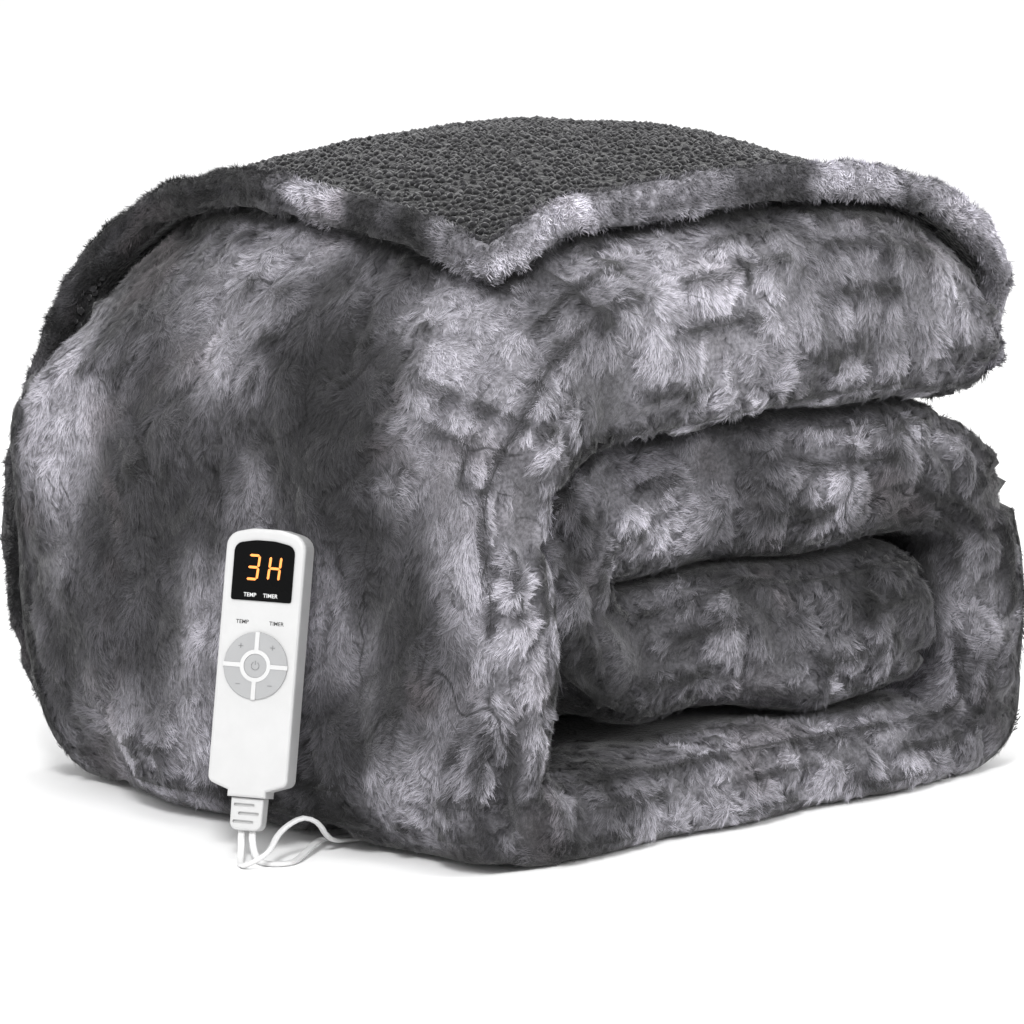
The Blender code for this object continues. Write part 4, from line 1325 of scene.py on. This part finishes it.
    def make(self) -> None:
        first = self.pose.matrix().to_3x3() @ Vector((1, 0, 0))
        for name, finish in (("mains_plug", self.finishes.white), ("coil_tie", self.finishes.tie),
                             ("plug_pin_left", self.finishes.nickel),
                             ("plug_pin_right", self.finishes.nickel),
                             ("blanket_connector", self.finishes.white)):
            self.nodes[name].material_slots[0].material = finish
        path = self.mains_path()
        mains = self.flat.make("mains_twin_lead", path, first, self.finishes.lead)
        on_body(mains)
        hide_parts("mains_lead", "mains_lead_coil", "mains_lead_tail")
        LOG.info("mains lead: %.3f m", route_length(path))
        path = self.laid(1, self.BLANKET)
        blanket = self.flat.make("blanket_twin_lead", path, first, self.finishes.lead)
        on_body(blanket)
        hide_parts("blanket_lead")
        LOG.info("blanket lead: %.3f m", route_length(path))


# ------------------------------------------------------------------ nearness
class Ground:
    """The solids that stand round a cloth, for how near and how hidden its points are."""

    WAYS = 14                   # ways out that are tried from each point
    TURN = 2.4                  # radians from one way to the next
    STEEP = 0.92                # rise of the steepest of them
    REACH = 0.6
    OFF = 0.0012                # where a look ahead starts
    OFF_ROUND = 0.0015          # and a look round

    def __init__(self, *meshes: bpy.types.Mesh) -> None:
        """Gather meshes in one tree.

        Args:
            *meshes: The meshes.
        """
        verts, faces = [], []
        for mesh in meshes:
            start = len(verts)
            verts += [v.co.copy() for v in mesh.vertices]
            faces += [tuple(start + i for i in p.vertices) for p in mesh.polygons]
        self.tree = BVHTree.FromPolygons(verts, faces)

    def distance(self, places: np.ndarray) -> np.ndarray:
        """Measure how far N by 3 points are from the solids."""
        return np.array([self.tree.find_nearest(Vector(p))[3] for p in places.tolist()])

    def free(self, places: np.ndarray, ways: np.ndarray, lift: float, far: float) -> np.ndarray:
        """Measure the free way ahead of each point.

        Args:
            places: N by 3 points.
            ways: Where each looks.
            lift: How far ahead the look starts.
            far: How far it looks.

        Returns:
            N distances, far where nothing is met.
        """
        room = np.full(len(places), far)
        for index, (place, way) in enumerate(zip(places.tolist(), ways.tolist())):
            hit = self.tree.ray_cast(Vector(place) + Vector(way) * lift, Vector(way), far)
            if hit[3] is not None:
                room[index] = hit[3]
        return room

    def open_share(self, places: np.ndarray, normals: np.ndarray, near: float, far: float
                   ) -> np.ndarray:
        """Tell how open the space before each point is.

        Args:
            places: N by 3 points.
            normals: Their normals.
            near: Nothing grows where something is nearer than this.
            far: Everything grows where nothing is nearer than this.

        Returns:
            N values of 0 to 1.
        """
        return smoothstep(self.free(places, normals, self.OFF, far), near, far)

    def seen_share(self, places: np.ndarray, normals: np.ndarray) -> np.ndarray:
        """Measure how much each point can be seen from outside the solids.

        Args:
            places: N by 3 points.
            normals: Their normals.

        Returns:
            N values, the share of ways out that are free.
        """
        ways = [Vector((math.cos(self.TURN * k) * math.sqrt(1 - z * z),
                        math.sin(self.TURN * k) * math.sqrt(1 - z * z), z))
                for k, z in enumerate(np.linspace(self.STEEP, -self.STEEP, self.WAYS))]
        share = np.zeros(len(places))
        for index, (place, normal) in enumerate(zip(places.tolist(), normals.tolist())):
            upright = Vector(normal)
            start = Vector(place) + upright * self.OFF_ROUND
            for way in ways:
                out = way if way.dot(upright) > 0 else -way
                if self.tree.ray_cast(start, out, self.REACH)[0] is None:
                    share[index] += 1 / self.WAYS
        return share


def in_surface(way: np.ndarray, normals: np.ndarray) -> np.ndarray:
    """Lay N by 3 directions down in the surface, each of length 1."""
    way = way - normals * (way * normals).sum(1)[:, None]
    return way / np.maximum(np.linalg.norm(way, axis=1), 1e-6)[:, None]


# ------------------------------------------------------------------ fur bundle
@dataclass
class FurBundle:
    """The folded fur blanket: shrunken cloth, furrows between its clumps, and its pile."""

    node: bpy.types.Object
    cloth_of_sherpa: bpy.types.Object
    finishes: Finishes
    scatter: Scatter
    levels: int = 2
    inset: float = 0.0030
    fold_swell: float = 0.0009
    clump: float = 0.030
    relief: dict[Side, float] = field(default_factory=lambda: {
        Side.WALL: 0.0020, Side.WALL_BACK: 0.0020, Side.END: 0.0048, Side.ROLL: 0.0030,
        Side.TOP: 0.0026, Side.TOP_BACK: 0.0026, Side.LOOP: 0.0036, Side.BACK: 0.0030})
    wave: float = 0.0030
    crease_pitch: float = 0.033
    crease_depth: float = 0.0026
    spacing: float = 0.0022
    sizes: tuple[float, float, float] = (0.85, 1.15, 1.0)
    sparse_sizes: tuple[float, float, float] = (1.35, 1.75, 1.4)
    kept_faces: float = 0.28
    droop: float = 0.60
    density: dict[Side, float] = field(default_factory=lambda: {
        Side.WALL: 92000.0, Side.WALL_BACK: 92000.0, Side.END: 84000.0, Side.ROLL: 92000.0,
        Side.TOP: 80000.0, Side.TOP_BACK: 80000.0, Side.LOOP: 40000.0, Side.BACK: 34000.0})
    roll_from: float = 0.245
    # Patches that lift the mottling lighter or darker, each a middle, a size and a lift. The
    # lighter ones are patches of dye; the darker ones, beside the handset, on the tucked layer and
    # in the recess on the left of the end, are partly dye and partly painted shade.
    patches: tuple[tuple[float, ...], ...] = (
        (0.010, -0.210, 0.295, 0.072, 0.95), (0.130, -0.210, 0.285, 0.060, 0.32),
        (-0.150, -0.190, 0.285, 0.055, 0.20), (-0.235, 0.050, 0.250, 0.060, 0.36),
        (-0.235, 0.070, 0.110, 0.055, 0.22), (-0.235, -0.090, 0.180, 0.080, -0.26),
        (0.070, -0.200, 0.100, 0.065, -0.24), (-0.130, -0.210, 0.100, 0.060, -0.10),
        (0.080, -0.200, 0.190, 0.055, 0.22), (-0.024, -0.205, 0.030, 0.045, 0.22))
    tuft: TuftShapes = field(default_factory=TuftShapes)

    def clumps(self, places: np.ndarray) -> tuple[np.ndarray, np.ndarray]:
        """Share the pile out among clumps.

        Args:
            places: N by 3 points.

        Returns:
            How near each point is to a furrow, 0 to 1, and N by 3 ways from its clump's middle.
        """
        stretch = np.array([1.0, 1.0, 0.66]) / self.clump
        bent = (places + vector_field(places, 0.040, 3.1) * 0.012
                + vector_field(places, 0.013, 6.1) * 0.0045) * stretch
        depth, away = np.zeros(len(places)), np.zeros_like(places)
        for index, place in enumerate(bent.tolist()):
            gaps, middles = noise.voronoi(Vector(place))
            depth[index] = gaps[1] - gaps[0]
            away[index] = Vector(place) - middles[0]
        return 1.0 - smoothstep(depth, 0.0, 0.34), away * stretch * self.clump

    def creases(self, places: np.ndarray, normals: np.ndarray) -> np.ndarray:
        """Give how deep each point of the wall lies in one of its upright creases.

        Args:
            places: N by 3 points.
            normals: Their normals.

        Returns:
            N values of 0 to 1.
        """
        drift = rough_field(places * np.array([0.3, 1.0, 0.45]), 0.075, 2.2) * 0.55
        phase = places[:, 1] / self.crease_pitch + drift + places[:, 2] * 1.4
        near = np.abs((phase % 1.0) - 0.5) * 2.0
        broken = smoothstep(rough_field(places, 0.06, 12.0), -0.30, 0.25)
        return (1.0 - smoothstep(1.0 - near, 0.0, 0.13)) * broken * smoothstep(
            -normals[:, 0], 0.35, 0.75)

    def shape(self, solids: Ground, layer: Ground) -> tuple[bpy.types.Mesh, np.ndarray]:
        """Make the cloth with its clumps, ready to grow pile.

        Args:
            solids: The bundle and the turned-over layer.
            layer: The turned-over layer alone.

        Returns:
            The mesh, with painted shade, flow and growth stored at its points, and how much
            each point is seen.
        """
        mesh = refined(self.node, self.levels)
        places, normals = points_of(mesh)
        room = solids.open_share(places, normals, 0.0045, 0.022)
        seen = Ground(mesh, merged_copy(self.cloth_of_sherpa)).seen_share(places, normals)
        depth, away = self.clumps(places)
        crease = self.creases(places, normals)
        relief = np.zeros(len(places))
        for side, mask in self.side_masks(places, normals).items():
            relief[mask] = self.relief[side]
        wave = rough_field(places, 0.050, 5.0) * self.wave
        rested = smoothstep(places[:, 2], 0.0, 0.02)
        moved = (-self.inset + np.minimum(wave, self.wave * 0.5) - relief * depth
                 + relief * 0.35 * (1 - depth) - self.crease_depth * crease)
        moved = moved * room + self.fold_swell * (1 - room)
        places = places + normals * (moved * (0.35 + 0.65 * rested))[:, None]
        places[:, 2] = np.maximum(places[:, 2], CLOTH_FLOOR)
        move_points(mesh, places)
        strong = smoothstep(relief, 0.001, 0.005)
        clear = smoothstep(layer.distance(places), 0.002, 0.012)
        # Lift of the patches: dye, and in the darker patches partly painted shade.
        store(mesh, "lift", sum(
            strength * np.exp(-((places - np.array(middle)) ** 2).sum(1) / size ** 2)
            for *middle, size, strength in self.patches))
        # Painted shade: the pile darkens in the furrows between clumps, in the upright creases,
        # where little of the outside is seen, in the folds, and in the shadow under the
        # turned-over layer.
        store(mesh, "shade", (1.0 - (0.30 + 0.25 * strong) * depth) * (1.0 - 0.45 * crease)
              * (0.62 + 0.38 * smoothstep(seen, 0.05, 0.60))
              * (0.16 + 0.84 * room) * (0.34 + 0.66 * clear))
        store(mesh, "growth", 1.0 - 0.22 * depth + 0.12 * rough_field(places, 0.02, 9.0))
        store(mesh, "flow", self.flow(places, normals, away, relief))
        mesh.shade_smooth()
        return mesh, smoothstep(seen, 0.0, 0.10).astype(np.float32)

    def flow(self, places: np.ndarray, normals: np.ndarray, away: np.ndarray,
             relief: np.ndarray) -> np.ndarray:
        """Give the way the pile lies at each point.

        Args:
            places: N by 3 points.
            normals: Their normals.
            away: The ways from the middles of the clumps.
            relief: The height of the clumps, which tells how far they fan out.

        Returns:
            N by 3 directions in the surface.
        """
        fan = (0.8 + 1.4 * smoothstep(relief, 0.001, 0.005))[:, None]
        way = (away * fan + vector_field(places, 0.060, 1.0) * 1.1
               + vector_field(places, 0.019, 2.0) * 0.7)
        way[:, 2] -= self.droop
        return in_surface(way, normals)

    def side_masks(self, places: np.ndarray, normals: np.ndarray) -> dict[Side, np.ndarray]:
        """Share the surface out among the bundle's sides.

        Args:
            places: N by 3 points.
            normals: N by 3 normals.

        Returns:
            For each side, N values of 0 or 1.
        """
        top = normals[:, 2] > 0.62
        near = places[:, 1] < 0.0
        sideways = np.abs(normals[:, 0]) > np.abs(normals[:, 1])
        front = ~top & ~sideways & (normals[:, 1] < 0)
        upper = places[:, 2] > self.roll_from
        return {
            Side.TOP: top & near,
            Side.TOP_BACK: top & ~near,
            Side.WALL: ~top & sideways & (normals[:, 0] < 0) & near,
            Side.WALL_BACK: ~top & sideways & (normals[:, 0] < 0) & ~near,
            Side.LOOP: ~top & sideways & (normals[:, 0] >= 0),
            Side.END: front & ~upper,
            Side.ROLL: front & upper,
            Side.BACK: ~top & ~sideways & (normals[:, 1] >= 0),
        }

    def thinned(self, mesh: bpy.types.Mesh) -> bpy.types.Mesh:
        """Give a lighter copy of the cloth, to lie below the pile.

        Args:
            mesh: The cloth.

        Returns:
            The lighter mesh.
        """
        heavy = placed("heavy_cloth", mesh.copy())
        heavy.modifiers.new("less", "DECIMATE").ratio = self.kept_faces
        light = baked(heavy)
        light.shade_smooth()
        forget(light, "flow", "growth", "cover")
        return light

    def make(self) -> None:
        """Build the cloth and grow its pile side by side."""
        layer = merged_copy(self.cloth_of_sherpa)
        solids = Ground(merged_copy(self.node), layer)
        cloth, seen = self.shape(solids, Ground(layer))
        places, normals = points_of(cloth)
        room = solids.open_share(places + normals * (self.inset + 0.002), normals, 0.003, 0.012)
        room *= smoothstep(places[:, 2] + normals[:, 2] * 0.01, -0.004, 0.006)
        room *= seen
        tufts = self.tuft.make("fur_tufts")
        for number, (side, mask) in enumerate(self.side_masks(places, normals).items()):
            sparse = side in (Side.LOOP, Side.BACK)
            small, large, spread = self.sparse_sizes if sparse else self.sizes
            piece = self.scatter.grow(
                f"fur_{side.value}", cloth, room * mask, Tufts=tufts, Seed=20 + number,
                Spacing=self.spacing * spread, Yaw=0.30, Pitch=0.12, Small=small, Large=large,
                Density=self.density[side], Finish=self.finishes.fur_strands)
            on_body(piece)
        drop_collection(tufts)
        body = link("fur_cloth", self.thinned(cloth), self.finishes.fur_cloth)
        on_body(body)
        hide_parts("fur_bundle")


# ------------------------------------------------------------------ sherpa layer
@dataclass
class SherpaLayer:
    """The turned-over layer: curled dark pile above, and a rolled fur hem all round."""

    node: bpy.types.Object
    bundle: bpy.types.Object
    finishes: Finishes
    scatter: Scatter
    levels: int = 2
    hem_width: float = 0.011
    rim_depth: float = 0.024
    hem_swell: float = 0.0036
    hem_inset: float = 0.0016
    curl_inset: float = 0.0012
    flat: tuple[float, float] = (0.45, 0.67)
    border: float = 0.0016      # width of the painted shade line where the hem meets the sherpa
    droop: float = 0.25
    curls: CurlShapes = field(default_factory=CurlShapes)
    tuft: TuftShapes = field(default_factory=lambda: TuftShapes(
        length=0.0031, width=0.00055, radius=0.0024, hairs=21, rise=0.85, sway=0.6,
        gather=0.0, seed=3))

    CHUNK = 2000                # points that are measured at once

    def rim_distance(self, mesh: bpy.types.Mesh) -> tuple[np.ndarray, np.ndarray]:
        """Measure how far each point is from the rim of the sheet.

        Args:
            mesh: The sheet's mesh.

        Returns:
            The distances, and N by 3 vectors to the nearest point of the rim.
        """
        places, normals = points_of(mesh)
        through = Ground(mesh).free(places, -normals, 0.0005, 0.08)
        rim_points = places[through > self.rim_depth].astype(float)
        distance = np.zeros(len(places))
        towards = np.zeros_like(places)
        for start in range(0, len(places), self.CHUNK):
            some = slice(start, start + self.CHUNK)
            gaps = np.linalg.norm(places[some, None, :] - rim_points[None, :, :], axis=2)
            distance[some] = gaps.min(1)
            towards[some] = rim_points[gaps.argmin(1)] - places[some]
        LOG.info("hem rim: %d of %d points", len(rim_points), len(places))
        return distance, towards

    def make(self) -> None:
        """Build the sheet, its curls and the fur of its hem."""
        cloth = refined(self.node, self.levels)
        places, normals = points_of(cloth)
        distance, towards = self.rim_distance(cloth)
        hem = 1.0 - smoothstep(distance, self.hem_width * 0.9, self.hem_width * 1.12)
        under = merged_copy(self.bundle)
        away = smoothstep(Ground(under).distance(places), 0.004, 0.012)
        across = np.clip(distance / self.hem_width * 2 - 1, -1, 1)
        beads = 1.0 + 0.8 * rough_field(places, 0.013, 5.0)
        swell = (self.hem_swell * beads * away * np.sqrt(1 - across ** 2)
                 - self.hem_inset * (1 - away))
        inset = self.curl_inset * (1 - hem) - swell * hem
        bumps = rough_field(places, 0.018, 4.0) * 0.0009 * (1 - hem)
        moved = places + normals * (bumps - inset)[:, None]
        moved[:, 2] = np.maximum(moved[:, 2], CLOTH_FLOOR)
        move_points(cloth, moved)
        cloth.shade_smooth()
        # Painted shade: the hem darkens where it turns downward, and along a thin line where it
        # meets the sherpa.
        border = np.exp(-((distance - self.hem_width) / self.border) ** 2)
        store(cloth, "shade", (0.30 + 0.70 * smoothstep(normals[:, 2], -0.8, 0.45))
              * (1.0 - 0.45 * border))
        # The hem's pile is lifted lighter along its run at the -Y end and where it faces -Y and
        # +X, and a little darker elsewhere.
        right_run = smoothstep(-normals[:, 1] + normals[:, 0] - places[:, 1] * 3, 0.2, 0.9)
        store(cloth, "lift", 0.52 * right_run - 0.14)
        ground = Ground(merged_copy(self.node), under)
        room = ground.open_share(places + normals * 0.001, normals, 0.004, 0.012)
        front = smoothstep(-normals[:, 1] - 0.9 * normals[:, 0] + normals[:, 2] * 1.6, -0.2, 0.5)
        store(cloth, "growth", np.ones(len(places)))
        store(cloth, "flow", self.hem_flow(places, normals, towards))
        curls = self.curls.make("sherpa_curls_shapes")
        nubs = self.scatter.grow(
            "sherpa_curls", cloth, room * (1 - hem) * (0.40 + 0.60 * front), Tufts=curls, Seed=5,
            Spacing=0.0027, Density=72000.0, Yaw=3.1, Pitch=0.30, Small=0.72, Large=1.22,
            Finish=self.finishes.sherpa_curls)
        tufts = self.tuft.make("hem_tufts")
        fringe = self.scatter.grow(
            "hem_fur", cloth, room * hem * (0.45 + 0.55 * front), Tufts=tufts, Seed=6,
            Spacing=0.0021, Density=150000.0, Yaw=0.6, Pitch=0.35, Small=0.80, Large=1.15,
            Finish=self.finishes.hem_strands)
        body = link("sherpa_cloth", cloth, self.finishes.sherpa_cloth)
        self.dress(body, hem)
        forget(cloth, "flow", "growth", "cover")
        for piece, slot in ((body, "charcoal_sherpa"), (nubs, "charcoal_sherpa"),
                            (fringe, "grey_fur")):
            on_body(piece)
        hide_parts("sherpa_layer")
        drop_collection(curls)
        drop_collection(tufts)

    def dress(self, body: bpy.types.Object, hem: np.ndarray) -> None:
        """Give the faces of the hem the fur's finish.

        Args:
            body: The sheet.
            hem: How much each point belongs to the hem.
        """
        body.data.materials.append(self.finishes.fur_cloth)
        for face in body.data.polygons:
            if sum(hem[i] for i in face.vertices) / len(face.vertices) > 0.5:
                face.material_index = 1

    def hem_flow(self, places: np.ndarray, normals: np.ndarray, towards: np.ndarray
                 ) -> np.ndarray:
        """Give the way the hem's pile lies: out over the roll, in bursts.

        Args:
            places: N by 3 points.
            normals: Their normals.
            towards: Vectors to the nearest point of the rim.

        Returns:
            N by 3 directions.
        """
        way = towards * 60.0 + vector_field(places, 0.024, 8.0) * 1.6
        way[:, 2] -= self.droop
        return in_surface(way, normals)


# ------------------------------------------------------------------ handset
@dataclass
class Handset:
    """The controller's display, its words and the signs on its wheel."""

    nodes: dict[str, bpy.types.Object]
    finishes: Finishes
    pose: HandsetPose = HandsetPose()
    digit_height: float = 0.0140
    digit_width: float = 0.0072
    stroke: float = 0.0013
    slant: float = 0.07
    wheel_middle: float = 0.0705
    wheel_top: float = 0.0164
    window_face: float = 0.0158
    front: float = 0.0150
    ink: float = 0.00008        # how far a print stands proud
    word_height: float = 0.0021
    spoke: tuple[float, float, float] = (0.0132, 0.0100, 0.0024)
    rim: tuple[float, float] = (0.0065, 0.0087)
    sign: tuple[float, float] = (0.0090, 0.0102)
    sign_bar: tuple[float, float] = (0.0026, 0.00032)
    power: tuple[float, float] = (0.0020, 0.00232)
    power_bar: tuple[float, float] = (0.0016, 0.0022)
    SEGMENTS = {"3": "abgcd", "H": "bcefg"}

    def segment(self, letter: str) -> Outline:
        """Give the outline of one bar of a digit.

        Args:
            letter: Its usual letter from a to g.

        Returns:
            Its corners.
        """
        wide, high, bar = self.digit_width / 2, self.digit_height / 2, self.stroke / 2
        gap = 0.00018
        if letter in "agd":
            y = {"a": high - bar, "g": 0.0, "d": -high + bar}[letter]
            left, right = -wide + bar + gap, wide - bar - gap
            return [(left, y), (left + bar, y + bar), (right - bar, y + bar), (right, y),
                    (right - bar, y - bar), (left + bar, y - bar)]
        x = wide - bar if letter in "bc" else -wide + bar
        low, top = (gap, high - bar - gap) if letter in "bf" else (-high + bar + gap, -gap)
        return [(x, low), (x + bar, low + bar), (x + bar, top - bar), (x, top),
                (x - bar, top - bar), (x - bar, low + bar)]

    def digit(self, sign: str, middle: tuple[float, float]) -> bpy.types.Object:
        """Build one lit digit of the display.

        Args:
            sign: Which digit.
            middle: Its place on the handset's front.

        Returns:
            The digit.
        """
        shape = bmesh.new()
        level = self.window_face + self.ink
        for letter in self.SEGMENTS[sign]:
            shape.faces.new([
                shape.verts.new((x + y * self.slant + middle[0], y + middle[1], level))
                for x, y in self.segment(letter)])
        bmesh.ops.recalc_face_normals(shape, faces=shape.faces)
        for face in shape.faces:
            if face.normal.z < 0:
                face.normal_flip()
        mesh = mesh_of(f"digit_{sign}", shape)
        mesh.transform(self.pose.matrix())
        return link(f"digit_{sign}", mesh, self.finishes.digits)

    def word(self, name: str, text: str, place: Point, material: bpy.types.Material
             ) -> bpy.types.Object:
        """Print a word on the handset's front.

        Args:
            name: The piece's name.
            text: The word.
            place: Its middle in the handset's frame.
            material: Its ink.

        Returns:
            The word as a mesh.
        """
        curve = bpy.data.curves.new(name, "FONT")
        curve.body = text
        curve.align_x, curve.align_y = "CENTER", "CENTER"
        curve.size = self.word_height / 0.70        # a capital's share of the size
        curve.offset = self.word_height * 0.018     # makes the strokes bolder
        curve.resolution_u = 3
        mesh = baked(placed(name + "_text", curve))
        mesh.transform(self.pose.matrix() @ Matrix.Translation(place))
        return link(name, mesh, material)

    def flat_piece(self, name: str, outlines: list[Outline], level: float, thick: float,
                   material: bpy.types.Material) -> bpy.types.Object:
        """Lay thin plates on the handset's front.

        Args:
            name: The piece's name.
            outlines: The outline of each plate, about the wheel's middle.
            level: Height of their faces above the wheel.
            thick: Their thickness.
            material: Their finish.

        Returns:
            The piece.
        """
        shape = bmesh.new()
        for outline in outlines:
            upper, lower = ([shape.verts.new((x, y + self.wheel_middle, z)) for x, y in outline]
                            for z in (self.wheel_top + level, self.wheel_top + level - thick))
            shape.faces.new(upper)
            for index in range(len(outline)):
                after = (index + 1) % len(outline)
                shape.faces.new((upper[index], lower[index], lower[after], upper[after]))
        bmesh.ops.recalc_face_normals(shape, faces=shape.faces)
        mesh = mesh_of(name, shape)
        mesh.transform(self.pose.matrix())
        return link(name, mesh, material)

    @staticmethod
    def arc(inner: float, outer: float, start: float, end: float, steps: int) -> list[Outline]:
        """Give the outlines of the pieces of a curved band.

        Args:
            inner: Its inner radius.
            outer: Its outer radius.
            start: Where it starts, in degrees.
            end: Where it ends, in degrees.
            steps: How many pieces it has.

        Returns:
            The outlines.
        """
        edges = [math.radians(start + (end - start) * i / steps) for i in range(steps + 1)]
        return [[(radius * math.cos(angle), radius * math.sin(angle)) for radius, angle in (
            (inner, one), (outer, one), (outer, two), (inner, two))]
                for one, two in zip(edges, edges[1:])]

    @staticmethod
    def bar(middle: tuple[float, float], wide: float, high: float) -> Outline:
        """Give the outline of a straight bar."""
        return [(middle[0] + x * wide / 2, middle[1] + y * high / 2)
                for x, y in ((-1, -1), (1, -1), (1, 1), (-1, 1))]

    def wheel(self) -> list[bpy.types.Object]:
        """Build the wheel's white lines and ring and its pressed signs.

        Returns:
            The pieces.
        """
        out, long, wide = self.spoke
        spokes = [self.bar((x * out, 0), long, wide) for x in (1, -1)]
        spokes += [self.bar((0, y * out), wide, long) for y in (1, -1)]
        x, y = self.sign
        long, wide = self.sign_bar
        signs = [self.bar((a * x, b * y), long, wide) for a in (-1, 1) for b in (-1, 1)]
        signs += [self.bar((a * x, y), wide, long) for a in (-1, 1)]
        signs += self.arc(*self.power, 122, 418, 20)
        signs.append(self.bar((0, self.power_bar[0]), wide, self.power_bar[1]))
        return [self.flat_piece("wheel_lines", spokes, 0.00006, 0.0010, self.finishes.recess),
                self.flat_piece("wheel_ring", self.arc(*self.rim, 0, 360, 40), 0.00010, 0.0010,
                                self.finishes.recess),
                self.flat_piece("wheel_signs", signs, 0.00005, 0.00004, self.finishes.signs)]

    def make(self) -> None:
        """Finish the moulded pieces and add the display's light and the prints."""
        finishes = {self.finishes.white: ("handset_housing", "strain_relief"),
                    self.finishes.window: ("display_window",),
                    self.finishes.buttons: ("timer_up_button", "temp_up_button",
                                            "temp_down_button", "timer_down_button",
                                            "power_button")}
        for finish, names in finishes.items():
            for name in names:
                self.nodes[name].material_slots[0].material = finish
        pieces = [self.digit("3", (-0.0058, 0.1231)), self.digit("H", (0.0064, 0.1231))]
        lit, plain = self.window_face + self.ink, self.front + self.ink
        white, dark = self.finishes.white_ink, self.finishes.grey_ink
        for name, text, x, y, z, ink in (
                ("temp_word", "TEMP", -0.0064, 0.1082, lit, white),
                ("timer_word", "TIMER", 0.0052, 0.1082, lit, white),
                ("temp_print", "TEMP", -0.0097, 0.0936, plain, dark),
                ("timer_print", "TIMER", 0.0097, 0.0936, plain, dark)):
            pieces.append(self.word(name, text, (x, y, z), ink))
        for piece in pieces:
            on_body(piece)
        for piece in self.wheel():
            on_body(piece)


# ------------------------------------------------------------------ the whole scene
def box_as_lists(box: object) -> object:
    """Turn a box of vectors into plain lists.

    Args:
        box: A vector, or a box of them by name.

    Returns:
        The lists.
    """
    if isinstance(box, dict):
        return {name: box_as_lists(item) for name, item in box.items()}
    return [box_as_lists(item) for item in box] if hasattr(box, "__len__") else float(box)


def main() -> object:
    """Build the scene.

    Returns:
        The CAD model's box, as it was before anything was added.
    """
    noise.seed_set(NOISE_SEED)
    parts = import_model()
    cad_box = box_as_lists(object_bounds())
    nodes = parts["nodes"]
    View().make()
    finishes = Finishes()
    Leads(nodes, finishes).make()
    LOG.info("leads are laid")
    scatter = Scatter()
    FurBundle(nodes["fur_bundle"], nodes["sherpa_layer"], finishes, scatter).make()
    LOG.info("fur bundle is dressed")
    SherpaLayer(nodes["sherpa_layer"], nodes["fur_bundle"], finishes, scatter).make()
    LOG.info("turned-over layer is dressed")
    Handset(nodes, finishes).make()
    LOG.info("handset is dressed")
    Studio().make()
    return cad_box


if __name__ == "__main__":
    logging.basicConfig(level=logging.INFO, format="%(name)s: %(message)s")
    first_box = main()
    {"cad": first_box, "visual": box_as_lists(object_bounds())}
